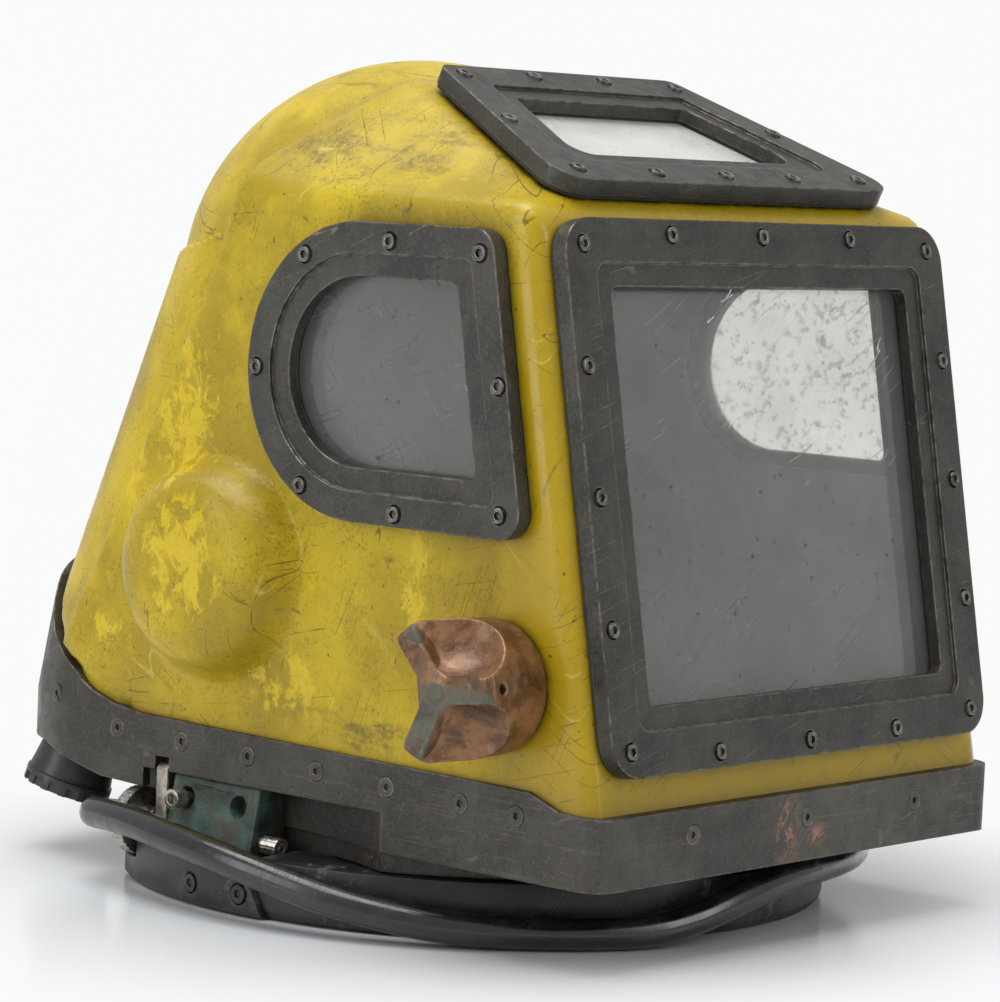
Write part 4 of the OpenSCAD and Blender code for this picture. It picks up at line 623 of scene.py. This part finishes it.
def hose_rubber():
    """Black glossy hose with scuffs along it, and a pale patch on its bend that is partly whitened
    rubber and partly painted highlight.
    """
    material, t, where = new_finish("black_hose_rubber", IOR=1.5, Coat_Roughness=0.12)
    tone = t.noise(where, 70.0, 4.0, 0.6)
    colour = t.blend(t.between(tone, 0.35, 0.7), (0.006, 0.006, 0.008, 1),
                     (0.022, 0.022, 0.026, 1))
    # pale patch at the bend: rubber whitened and rubbed where it is bent, and a painted highlight
    # of the bend's shine
    bend = t.near(where, (-0.137, 0.085, 0.028), (0.020, 0.018, 0.014))
    scuff_and_sheen = scratches(t, where, 9.0, 420.0, 0.05, (90, 0, 0), 0.42)
    rub = t.times(t.between(t.noise(where, 240.0, 5.0, 0.7), 0.42, 0.62), bend)
    scuff_and_sheen = t.most(t.times(scuff_and_sheen, 0.6), rub)
    colour = t.tint(colour, scuff_and_sheen, 0.45, (0.20, 0.20, 0.20, 1))
    dust = t.between(t.noise(where, 500.0, 3.0, 0.7), 0.6, 0.75)
    colour = t.tint(colour, dust, 0.25, (0.10, 0.10, 0.10, 1))
    t.set("Base Color", colour)
    t.set("Roughness", t.plus(t.between(tone, 0.3, 0.7, 0.16, 0.30), t.times(scuff_and_sheen, 0.2)))
    t.set("Coat Weight", t.between(tone, 0.3, 0.7, 0.5, 0.2))
    bump(t, t.plus(t.noise(where, 130.0, 3.0, 0.6), scuff_and_sheen), 0.00025, 0.6)
    return material


def plain_matt(name, colour_a, colour_b):
    """Dull material between two tones: rubber, plastic or an unpolished coat."""
    material, t, where = new_finish(name, IOR=1.5)
    tone = t.noise(where, 200.0, 4.0, 0.6)
    t.set("Base Color", t.blend(tone, colour_a, colour_b))
    t.set("Roughness", t.between(tone, 0.3, 0.7, 0.55, 0.8))
    bump(t, t.noise(where, 900.0, 3.0, 0.6), 0.0001, 0.5)
    return material


GELCOAT = yellow_gelcoat()
FRAME_BRONZE = oxidised_bronze("frame_oxidised_bronze", (0.018, 0.0175, 0.014, 1),
                               (0.052, 0.051, 0.042, 1), (0.36, 0.32, 0.26, 1), 0.75)
BAND_BRONZE = oxidised_bronze("band_oxidised_bronze", (0.022, 0.020, 0.015, 1),
                              (0.062, 0.058, 0.046, 1), (0.32, 0.25, 0.18, 1), 0.7, 0.8, True,
                              [((-0.013, -0.172, 0.046), (0.012, 0.012, 0.022)),
                               ((0.006, -0.172, 0.042), (0.009, 0.012, 0.006))])
COLLAR_BRONZE = oxidised_bronze("collar_oxidised_bronze", (0.018, 0.017, 0.014, 1),
                                (0.050, 0.046, 0.038, 1), (0.32, 0.25, 0.18, 1), 0.6, 0.8, True,
                                copper_spots=[((-0.125, -0.056, 0.028), (0.01, 0.012, 0.005))])
PANE = scratched_pane("scratched_acrylic", 0.93, 0.015, 0.05)
FAR_PANE = scratched_pane("spotted_acrylic", 0.93, 0.015, 0.05, 0.57)
# the top pane lets little light through, so its pale base colour shows: haze in the acrylic, and
# painted reflection of the overhead light
TOP_PANE_HAZE_AND_SHEEN = scratched_pane("top_acrylic_haze_and_reflection", 0.35, 0.12, 0.28)
RING_PAINT = painted_black("chipped_black_paint", (0.010, 0.010, 0.012, 1),
                           (0.17, 0.165, 0.155, 1), 0.16)
KEEPER_PAINT = painted_black("keeper_dark_paint", (0.016, 0.015, 0.014, 1),
                             (0.14, 0.13, 0.115, 1), 0.22)
CAP_BLACK = painted_black("bonnet_black", (0.024, 0.024, 0.026, 1), (0.15, 0.15, 0.15, 1),
                          0.10, 0.32, 0.5, 0.5)
COPPER = copper_knob()
PATINA = green_casting()
STEEL = bright_metal("bright_steel_worn", (0.66, 0.63, 0.57, 1), (0.34, 0.32, 0.28, 1), 0.18, 0.34,
                     0.22)
PEWTER = bright_metal("dull_lever_metal", (0.46, 0.43, 0.36, 1), (0.24, 0.22, 0.18, 1), 0.3, 0.5,
                      0.3)
BRASS = bright_metal("inner_machined_brass", (0.50, 0.36, 0.16, 1), (0.30, 0.20, 0.09, 1), 0.25,
                     0.45, 0.3)
SPRING = bright_metal("spring_wire", (0.58, 0.57, 0.55, 1), (0.36, 0.35, 0.33, 1), 0.25, 0.4, 0.2)
SCREW = socket_screw()
BAND_SCREW = oxidised_bronze("flush_screw_bronze", (0.030, 0.028, 0.024, 1),
                             (0.075, 0.070, 0.060, 1), (0.34, 0.28, 0.20, 1), 0.7, 3.0)
HOSE = hose_rubber()
GASKET = plain_matt("gasket_black_rubber", (0.012, 0.012, 0.012, 1), (0.03, 0.03, 0.028, 1))
DISC = plain_matt("valve_disc_rubber", (0.03, 0.026, 0.022, 1), (0.06, 0.052, 0.044, 1))
INSIDE = plain_matt("inner_grey_coat", (0.17, 0.166, 0.155, 1), (0.26, 0.254, 0.237, 1))
AUDIO = plain_matt("earphone_black", (0.02, 0.02, 0.02, 1), (0.05, 0.05, 0.05, 1))


# Surface of the shell: the formula of the part's source, in millimetres

CORE = np.array([0.0, 0.0, 165.0])
FAR = 1000.0
HALF_W, WALL, SHOULDER_Z, CORNER_R = 127.0, 6.0, 285.0, 120.0
REAR_SLOPE, REAR_OFFSET, CROWN_Z, CROWN_R = 26.6, 154.0, 342.0, 98.0


def xyz(*parts):
    """These numbers as one vector."""
    return np.array(parts, float)


FRONT_N = xyz(0, -math.cos(math.radians(10.5)), math.sin(math.radians(10.5)))
FRONT_SEAT = xyz(0, -153.4, 177.8) - 8.0 * FRONT_N
TOP_N = xyz(0, -math.sin(math.radians(23.6)), math.cos(math.radians(23.6)))
TOP_SEAT = xyz(0, -115.7, 299) - 8.5 * TOP_N
REAR_N = xyz(0, math.cos(math.radians(REAR_SLOPE)), math.sin(math.radians(REAR_SLOPE)))
CORNER_Z = SHOULDER_Z - CORNER_R
CORNER_Y = (REAR_OFFSET - CORNER_R - CORNER_Z * REAR_N[2]) / REAR_N[1]
LOW_Z, HIGH_Z = 119.0, 271.0
CORNER_LOW, CORNER_HIGH = xyz(54, 95, 71), xyz(22, 50, 80)
ARC_LOW, ARC_HIGH = xyz(0, -194, 365), xyz(0, -82, 214)
ROOF_REAR_N, ROOF_REAR_P = xyz(0, 0.64, 0.768), xyz(0, -8, 337)
FACET_N, FACET_P = xyz(0.70, -0.085, 0.709), xyz(106, -121, 290)
EAR_MID, EAR_OUT, EAR_SINK, EAR_BULGE = xyz(117, 35, 133), 21.0, 10.0, 45.0
EAR_FLARE = math.sqrt(1 - (EAR_SINK / EAR_BULGE) ** 2)
EAR_AXES = xyz(EAR_BULGE, 46 / EAR_FLARE, 44 / EAR_FLARE)
CROWN_MID, CROWN_AXES = xyz(0, 46, CROWN_Z - CROWN_R), xyz(104, 98, 98)
CROWN_BLEND_FROM, CROWN_BLEND_OVER = 0.15, 0.27
FORE_MID, FORE_AXES = xyz(0, 6, CROWN_Z - CROWN_R), xyz(95, 96, 88)
ROOF_DOME_MID, ROOF_DOME_AXES = xyz(0, -50, 200), xyz(300, 110, 170)
SIDEWAYS, UPWARDS = xyz(1, 0, 0), xyz(0, 0, 1)
# radii with which neighbouring surfaces flow into each other
SOFT_FACET, SOFT_ROOF, SOFT_CROWN, SOFT_RIDGE, SOFT_FORE = 8, 20, 10, 22, 15
SOFT_SIDE, SOFT_LID, SOFT_FRONT, SOFT_EAR = 9, 8, 16, 10


def plane_reach(d, n, p):
    """Distance from the core along d to the plane through p with normal n."""
    along = d @ n
    return np.where(along > 0.001, ((p - CORE) @ n) / np.where(along > 0.001, along, 1), FAR)


def soft_min(a, b, k):
    h = np.maximum(k - np.abs(a - b), 0) / k
    return np.minimum(a, b) - h * h * k / 4


def soft_max(a, b, k):
    return -soft_min(-a, -b, k)


def egg_reach(d, mid, axes):
    """Distance to the far side of an ellipsoid."""
    o, e = (CORE - mid) / axes, d / axes
    a, b, c = (e * e).sum(1), e @ o, o @ o - 1
    disc = b * b - a * c
    return np.where(disc > 0, (np.sqrt(np.maximum(disc, 0)) - b) / a, 0)


def side_reach(d, t):
    """The leaning rear wall, rolled over into the flat shoulder."""
    flat = np.minimum(plane_reach(d, UPWARDS, xyz(0, 0, SHOULDER_Z - t)),
                      plane_reach(d, REAR_N, REAR_N * (REAR_OFFSET - t)))
    o = xyz(CORE[1] - CORNER_Y, CORE[2] - CORNER_Z)
    e = d[:, 1:]
    r = CORNER_R - t
    a = np.maximum((e * e).sum(1), 0.000001)
    b = e @ o
    hit = (np.sqrt(np.maximum(b * b - a * (o @ o - r * r), 0)) - b) / a
    at = np.degrees(np.arctan2(CORE[2] + hit * d[:, 2] - CORNER_Z,
                               CORE[1] + hit * d[:, 1] - CORNER_Y))
    return np.where((at > REAR_SLOPE) & (at < 90), np.minimum(hit, FAR), flat)


def roof_reach(d, t):
    """The ridge behind the top window, with its facets and its slope to the rear."""
    lid = plane_reach(d, TOP_N, TOP_SEAT - t * TOP_N)
    back = plane_reach(d, ROOF_REAR_N, ROOF_REAR_P - t * ROOF_REAR_N)
    facet = plane_reach(d, FACET_N, FACET_P - t * FACET_N)
    dome = egg_reach(d, ROOF_DOME_MID, ROOF_DOME_AXES)
    return np.minimum(soft_min(soft_min(lid, facet, SOFT_FACET), back, SOFT_ROOF), dome)


def at_height(low, high, z):
    """A centre and radius that change evenly with the height."""
    return low + (high - low) * ((z - LOW_Z) / (HIGH_Z - LOW_Z))[..., None]


def cone_reach(d, low, high, t):
    """Distance to a leaning cone given by its centre and radius at two heights."""
    c = at_height(low, high, np.array(CORE[2]))
    g = (high - low) / (HIGH_Z - LOW_Z)
    o = CORE[:2] - c[:2]
    e = d[:, :2] - d[:, 2:3] * g[:2]
    ra, rb = c[2] - t, g[2] * d[:, 2]
    a, b, k = (e * e).sum(1) - rb * rb, e @ o - ra * rb, o @ o - ra * ra
    disc = b * b - a * k
    good = (disc > 0) & (a > 0.0001)
    return np.where(good, np.maximum((np.sqrt(np.maximum(disc, 0)) - b) /
                                     np.where(good, a, 1), 0), 0)


def rear_reach(d, t):
    """Plan of the rear: a wide arc between two tighter corners."""
    wide = cone_reach(d, ARC_LOW, ARC_HIGH, t)
    hit = CORE + wide[:, None] * d
    arc = at_height(ARC_LOW, ARC_HIGH, hit[:, 2])
    corner = at_height(CORNER_LOW, CORNER_HIGH, hit[:, 2])
    behind = hit[:, 1] - arc[:, 1]
    on_arc = hit[:, 0] * (corner[:, 1] - arc[:, 1]) < corner[:, 0] * behind
    return np.where((behind > 0) & (d[:, 1] > 0) & on_arc, wide,
                    cone_reach(d, CORNER_LOW, CORNER_HIGH, t))


def crown_reach(d, t):
    """The domed crown, which flows down into the rear."""
    dome = egg_reach(d, CROWN_MID, CROWN_AXES - t)
    rise = (CORE[2] + dome * d[:, 2] - (CROWN_Z - CROWN_R)) / (CROWN_R - t)
    w = np.clip((rise - CROWN_BLEND_FROM) / CROWN_BLEND_OVER, 0, 1)
    w = w * w * (3 - 2 * w)
    return np.maximum(dome, dome * w + rear_reach(d, t) * (1 - w))


def shell_reach(v, t):
    """Distance from the core to the shell's surface, less a wall t, along unit directions."""
    d = np.abs(v) * [1, 0, 0] + v * [0, 1, 1]
    low = soft_max(side_reach(d, t), crown_reach(d, t), SOFT_CROWN)
    fore = egg_reach(d, FORE_MID, FORE_AXES - t)
    body = soft_max(soft_max(roof_reach(d, t), low, SOFT_RIDGE), fore, SOFT_FORE)
    side = plane_reach(d, SIDEWAYS, xyz(HALF_W - t, 0, 0))
    front = plane_reach(d, FRONT_N, FRONT_SEAT - t * FRONT_N)
    lid = plane_reach(d, TOP_N, TOP_SEAT - t * TOP_N)
    box = soft_min(soft_min(body, side, SOFT_SIDE), lid, SOFT_LID)
    box = soft_min(box, front, SOFT_FRONT)
    cap = plane_reach(d, SIDEWAYS, xyz(HALF_W + EAR_OUT - t, 0, 0))
    ear = soft_min(egg_reach(d, EAR_MID, EAR_AXES - t), cap, SOFT_EAR)
    return soft_max(box, ear, SOFT_EAR)


SHELL_FOOT = 0.0532
OUTER_GRID, INNER_GRID = (420, 210), (160, 80)
SHELL_SMOOTH = 40
CUTTER_MORE, CUTTER_GROW = 0.014, 1.004

# Where and how far the rear skirt is drawn in behind the band
TUCK_BELOW = -10.0  # millimetres from the core's height
TUCK_FROM_Y, TUCK_OVER_Y = 0.040, 0.040
TUCK_EASE, TUCK_STEP = 4.0, 0.5  # degrees above the band's edge
TUCK_WALL, TUCK_GAP = 4, 0.4  # millimetres
WALL_TILT = 0.6  # faces of the band that lie flatter aren't its wall
BAND_HOLE, HOLE_REACH = (-0.108, 0.162, 0.053), 0.035
HOLE_TURNS = (0, 8, -8, 16, -16)  # degrees to look aside where the exhaust's hole is


def band_wall(band, core, ray, turns):
    """Inner and outer place of the band's wall along a ray, or nothing."""
    for turn in turns:
        along = Matrix.Rotation(math.radians(turn), 3, "Z") @ Vector(ray)
        found, inner, normal, face = band.ray_cast(core, along)
        if found and abs(normal.z) < WALL_TILT:
            break
    if not found or abs(normal.z) > WALL_TILT:
        return None
    found, outer, normal, face = band.ray_cast(inner + along * 0.0003, along)
    return (inner, outer) if found else None


def tuck_behind_band(shell):
    """Draws the rear skirt in behind the band's wall, and eases it in from a little above."""
    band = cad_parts["base_band"]
    core = Vector(CORE / 1000)
    points = points_of(shell)
    away = points * 1000 - CORE
    low = np.flatnonzero((away[:, 2] < TUCK_BELOW) & (points[:, 1] > TUCK_FROM_Y))
    drawn = np.clip((points[low, 1] - TUCK_FROM_Y) / TUCK_OVER_Y, 0, 1)
    distance = np.linalg.norm(away[low], axis=1)
    flat = np.hypot(away[low, 0], away[low, 1])
    pitch = np.arctan2(away[low, 2], flat)
    shift = np.zeros(len(low))
    hole = np.linalg.norm(points[low] - np.array(BAND_HOLE), axis=1) < HOLE_REACH
    for lower in np.arange(0, TUCK_EASE + 0.1, TUCK_STEP):
        angle = pitch - math.radians(lower)
        share = math.cos(math.pi * lower / (2 * TUCK_EASE)) ** 2
        rays = np.stack([away[low, 0] / flat * np.cos(angle),
                         away[low, 1] / flat * np.cos(angle), np.sin(angle)], 1)
        reach = shell_reach(rays, 0)
        for i, ray in enumerate(rays):
            wall = band_wall(band, core, ray, HOLE_TURNS if hole[i] else (0,))
            if wall is None:
                continue
            inside, outside = [(place - core).length * 1000 for place in wall]
            past = reach[i] + TUCK_WALL - outside
            if past > 0:
                part = share * min(past / TUCK_WALL, 1) * drawn[i]
                shift[i] = max(shift[i], part * (reach[i] - (inside - TUCK_GAP)))
    points[low] -= away[low] / distance[:, None] * shift[:, None] / 1000
    move_points(shell, points)


def moulded_skin(name, t, grid):
    """One surface of the moulding, cut level at its foot."""
    bpy.ops.object.select_all(action="DESELECT")
    bpy.ops.mesh.primitive_uv_sphere_add(segments=grid[0], ring_count=grid[1], radius=1)
    skin = bpy.context.object
    skin.name = name
    points = points_of(skin)
    heading = points / np.linalg.norm(points, axis=1)[:, None]
    move_points(skin, (CORE + shell_reach(heading, t)[:, None] * heading) / 1000)
    edit_all(skin)
    bpy.ops.mesh.bisect(plane_co=(0, 0, SHELL_FOOT), plane_no=(0, 0, 1), clear_inner=True)
    end_edit()
    return skin


def moulded_shell():
    """Outer and inner surface joined at the foot, with four window openings."""
    shell = moulded_skin("moulded_shell", 0.0, OUTER_GRID)
    inner = moulded_skin("inner_skin", WALL, INNER_GRID)
    edit_all(inner)
    bpy.ops.mesh.flip_normals()
    end_edit()
    join_into(shell, [inner])
    edit_all(shell)
    bpy.ops.mesh.select_all(action="DESELECT")
    bpy.ops.mesh.select_mode(type="EDGE")
    bpy.ops.mesh.select_non_manifold()
    bpy.ops.mesh.bridge_edge_loops()
    bpy.ops.mesh.select_all(action="SELECT")
    bpy.ops.mesh.normals_make_consistent(inside=False)
    end_edit()
    cutters = []
    for node, normal in (("front_pane", FRONT_N), ("top_pane", TOP_N),
                         ("right_pane", -SIDEWAYS), ("left_pane", SIDEWAYS)):
        cutter = copy_of_node(node, node + "_cutter")
        stretch_along(cutter, normal, CUTTER_MORE, CUTTER_GROW)
        cutters.append(cutter)
    join_into(cutters[0], cutters[1:])
    apply_modifier(shell, "BOOLEAN", operation="DIFFERENCE", object=cutters[0], solver="EXACT")
    bpy.data.objects.remove(cutters[0])
    tuck_behind_band(shell)
    smooth(shell, SHELL_SMOOTH)
    return shell


def stretch_along(piece, normal, more, grow):
    """Lengthens a flat piece both ways along its normal and grows its outline a little."""
    points = points_of(piece)
    mid = (points.min(0) + points.max(0)) / 2
    depth = (points - mid) @ normal
    flat = points - mid - depth[:, None] * normal
    out = mid + flat * grow + (depth + np.sign(depth) * more)[:, None] * normal
    move_points(piece, out)


def grey_inside(shell):
    """Gives the moulding's inner skin its own grey coat."""
    shell.data.materials.append(INSIDE)
    for face in shell.data.polygons:
        if face.normal.dot(face.center - Vector(CORE / 1000)) < 0:
            face.material_index = 1


shell = moulded_shell()
dress(shell, "helmet", "shell_yellow", GELCOAT, "shell")
grey_inside(shell)


# Hose loop: the route of the part's source, in millimetres

HOSE_POINTS = [
    (-124, 82.7, 24.5), (-124.6, 85.8, 24.6), (-127.2, 88.9, 25), (-130.8, 90.2, 25.6),
    (-134.4, 89.9, 26.4), (-138, 88.2, 27.3), (-141.4, 85.2, 28.1), (-144.5, 81.3, 28.8),
    (-146.6, 76, 29.3), (-149, 68, 29.8), (-151.5, 58.5, 30), (-154, 48, 29.9),
    (-156.5, 36, 29.3), (-158.5, 22, 28), (-159.8, 4, 26.2), (-159, -16, 23), (-156, -36, 19.2),
    (-151, -54, 15.4), (-143.5, -71, 12), (-133, -89, 9), (-120, -106, 7.4), (-104, -121, 6.9),
    (-86, -135, 6.8), (-66, -146, 7.2), (-46, -153.5, 10.8), (-23, -158.5, 17.5), (0, -160, 22.3),
    (24, -158, 24), (48, -152, 23.8), (72, -142, 23), (95, -127, 22.2), (115, -108, 21.8),
    (132, -87, 21.8), (145, -64, 22.2), (153, -40, 23.5), (158, -14, 26), (159.5, 10, 28.5),
    (157.6, 32, 30.2), (155, 48, 30.6), (152, 60, 30.2), (148.8, 70, 29.6), (146.6, 76, 29.3),
    (144.5, 81.3, 28.8), (141.4, 85.2, 28.1), (138, 88.2, 27.3), (134.4, 89.9, 26.4),
    (130.8, 90.2, 25.6), (127.2, 88.9, 25), (124.6, 85.8, 24.6), (124, 82.7, 24.5)]
HOSE_R = 6.4
HOSE_STEPS, HOSE_ROUNDNESS, HOSE_SMOOTH = 6, 7, 50


def hose_route(steps):
    """Smooth curve through the route's points."""
    p = [Vector(q) / 1000 for q in HOSE_POINTS]
    last = len(p) - 1
    route = []
    for i in range(last):
        a, b, c, d = p[max(i - 1, 0)], p[i], p[i + 1], p[min(i + 2, last)]
        for k in range(steps):
            s = k / steps
            route.append(b + (c - a) * s / 2 + (2 * a - 5 * b + 4 * c - d) * s * s / 2
                         + (3 * b - a - 3 * c + d) * s ** 3 / 2)
    return route + [p[last]]


def hose():
    """The stiff hose as one closed tube along its route."""
    route = hose_route(HOSE_STEPS)
    curve = bpy.data.curves.new("hose_line", "CURVE")
    curve.dimensions = "3D"
    curve.bevel_depth = HOSE_R / 1000
    curve.bevel_resolution = HOSE_ROUNDNESS
    curve.use_fill_caps = True
    spline = curve.splines.new("POLY")
    spline.points.add(len(route) - 1)
    for point, place in zip(spline.points, route):
        point.co = (*place, 1)
    line = bpy.data.objects.new("hose_line", curve)
    scene.collection.objects.link(line)
    only(line)
    bpy.ops.object.convert(target="MESH")
    tube = bpy.context.object
    tube.name = "rubber_hose"
    smooth(tube, HOSE_SMOOTH)
    return tube


dress(hose(), "helmet", "hose_rubber", HOSE, "hose_loop")


# Castings and turned pieces with eased edges

WINDOWS = ("front", "top", "right", "left")
for side in WINDOWS:
    eased(side + "_screws", 0.00028, "helmet", "screw_steel", SCREW)
eased("band_screws", 0.00015, "helmet", "band_screw_dark", BAND_SCREW, 1)
eased("neck_ring", 0.0006, "neck_ring", "ring_black", RING_PAINT)
for side in ("right", "left"):
    eased(side + "_keeper", 0.0005, "neck_ring", "keeper_dark", KEEPER_PAINT)
    eased(side + "_latch_block", 0.0010, "helmet", "latch_patina", PATINA)
    eased(side + "_thumb_lever", 0.0007, side + "_lock", "lever_pewter", PEWTER)
    eased(side + "_knurled_knob", 0.00022, side + "_lock", "bright_steel", STEEL, 1)
    eased(side + "_lock_shaft", 0.0003, side + "_lock", "bright_steel", STEEL)
eased("keeper_screws", 0.0002, "neck_ring", "keeper_dark", KEEPER_PAINT, 1)
for node in ("right_block_screw", "left_block_screws"):
    eased(node, 0.0003, "helmet", "bright_steel", STEEL)
eased("exhaust_bonnet", 0.0006, "exhaust_adjuster", "cap_black", CAP_BLACK)
eased("hose_ferrules", 0.0004, "helmet", "bright_steel", STEEL)


KNOB_GRAIN = 0.00045  # metres
KNOB_FLOW, KNOB_ROUNDS, KNOB_SMOOTH = 0.5, 9, 80


def cast_knob():
    """The control knob as a casting: its ridges and hollows flow into each other."""
    knob = copy_of_node("air_knob", "cast_control_knob")
    apply_modifier(knob, "REMESH", mode="VOXEL", voxel_size=KNOB_GRAIN)
    apply_modifier(knob, "SMOOTH", factor=KNOB_FLOW, iterations=KNOB_ROUNDS)
    smooth(knob, KNOB_SMOOTH)
    return knob


dress(cast_knob(), "air_control", "knob_copper", COPPER, "air_knob")


# Pieces whose CAD shape is kept, with their finishes

KEPT = {
    BAND_BRONZE: ["base_band"],
    COLLAR_BRONZE: ["collar"],
    FRAME_BRONZE: [side + "_frame" for side in WINDOWS],
    PANE: ["front_pane", "right_pane"],
    FAR_PANE: ["left_pane"],
    TOP_PANE_HAZE_AND_SHEEN: ["top_pane"],
    GASKET: [side + "_gasket" for side in WINDOWS] + ["collar_seal"],
    SCREW: ["collar_screws", "knob_set_screw"],
    STEEL: ["valve_spindle", "valve_plunger", "non_return_poppet"],
    BRASS: ["valve_body", "valve_nut", "air_duct", "air_inlet", "inlet_nut", "exhaust_body"],
    SPRING: ["non_return_spring", "exhaust_spring", "microphone_arm"],
    DISC: ["exhaust_disc"],
    AUDIO: ["right_earphone", "left_earphone", "microphone"],
}
for finish, names in KEPT.items():
    for name in names:
        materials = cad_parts[name].data.materials
        materials.clear()
        materials.append(finish)


# Floor, lamps, world and camera

ROOM_WHITE = (0.955, 0.957, 0.96, 1)
ROOM_LIGHT, ROOM_IN_GLOSS = 0.40, 0.4
FLOOR_SIZE = 14
FADE_FROM, FADE_TO, FADE_SHAPE = 0.115, 0.21, (0.62, 0.72, 1.0)


def stage_floor():
    """Pale floor that keeps the shadow near the helmet and turns white further out."""
    bpy.ops.object.select_all(action="DESELECT")
    bpy.ops.mesh.primitive_plane_add(size=FLOOR_SIZE)
    floor = bpy.context.object
    floor.name = "pale_floor"
    material, t, where = new_finish("pale_floor_white", IOR=1.45)
    t.set("Base Color", (0.84, 0.87, 0.90, 1))
    t.set("Roughness", 0.16)
    paths = t.add("ShaderNodeLightPath")
    seen = t.most(paths.outputs["Is Camera Ray"],
                  t.most(paths.outputs["Is Glossy Ray"], paths.outputs["Is Transmission Ray"]))
    far = t.add("ShaderNodeVectorMath", {0: where, 1: FADE_SHAPE}, operation="MULTIPLY")
    away = t.add("ShaderNodeVectorMath", {0: far.outputs[0]}, operation="LENGTH")
    fade = t.between(away.outputs["Value"], FADE_FROM, FADE_TO)
    white = t.add("ShaderNodeEmission", {"Color": ROOM_WHITE, "Strength": 1.0})
    mixed = t.add("ShaderNodeMixShader")
    t.feed(mixed.inputs[0], t.times(seen, fade))
    t.feed(mixed.inputs[1], t.shader.outputs[0])
    t.feed(mixed.inputs[2], white.outputs[0])
    t.feed(material.node_tree.nodes["Material Output"].inputs["Surface"], mixed.outputs[0])
    floor.data.materials.append(material)


def soft_world():
    """Even light from all sides, white where it is seen."""
    world = bpy.data.worlds.new("pale_room")
    world.use_nodes = True
    scene.world = world
    t = Tree(world.node_tree)
    background = world.node_tree.nodes["Background"]
    paths = t.add("ShaderNodeLightPath")
    seen = t.most(paths.outputs["Is Camera Ray"], paths.outputs["Is Transmission Ray"])
    gloss = t.times(paths.outputs["Is Glossy Ray"], ROOM_IN_GLOSS)
    seen = t.most(seen, gloss)
    t.feed(background.inputs["Strength"], t.between(seen, 0.0, 1.0, ROOM_LIGHT, 1.0))
    background.inputs["Color"].default_value = ROOM_WHITE


def softbox(name, place, aim, size, power):
    """A rectangular lamp: metres and watts."""
    light = bpy.data.lights.new(name, "AREA")
    light.shape = "RECTANGLE"
    light.size, light.size_y = size
    light.energy = power
    lamp = bpy.data.objects.new(name, light)
    lamp.location = place
    lamp.rotation_euler = (Vector(aim) - Vector(place)).to_track_quat("-Z", "Y").to_euler()
    scene.collection.objects.link(lamp)


stage_floor()
soft_world()
softbox("overhead_box", place=(-0.25, 0.15, 1.7), aim=(0, 0, 0.2), size=(1.3, 1.3), power=24)
softbox("left_box", place=(-1.5, 0.45, 0.7), aim=(0, 0, 0.18), size=(0.7, 1.2), power=7)
softbox("front_strip", place=(0.25, -1.75, 0.9), aim=(0, 0, 0.18), size=(0.5, 1.2), power=6)

# The photograph's camera, solved from the window frames and the neck ring
CAMERA_AXES = ((0.65797846, -0.75169231, 0.04497794),
               (0.03463481, 0.08987426, 0.99535072),
               (-0.75223984, -0.65336153, 0.08517005))
CAMERA_PLACE = (-1.231979, -1.074254, 0.298628)
LENS, SENSOR_WIDTH = 140.3, 36  # millimetres
camera_data = bpy.data.cameras.new("photo_camera")
camera_data.lens = LENS
camera_data.sensor_width = SENSOR_WIDTH
camera_data.clip_start = 0.01
camera = bpy.data.objects.new("photo_camera", camera_data)
turned = Matrix(CAMERA_AXES).transposed().to_4x4()
camera.matrix_world = Matrix.Translation(CAMERA_PLACE) @ turned
scene.collection.objects.link(camera)
scene.camera = camera
scene.view_settings.view_transform = "Standard"
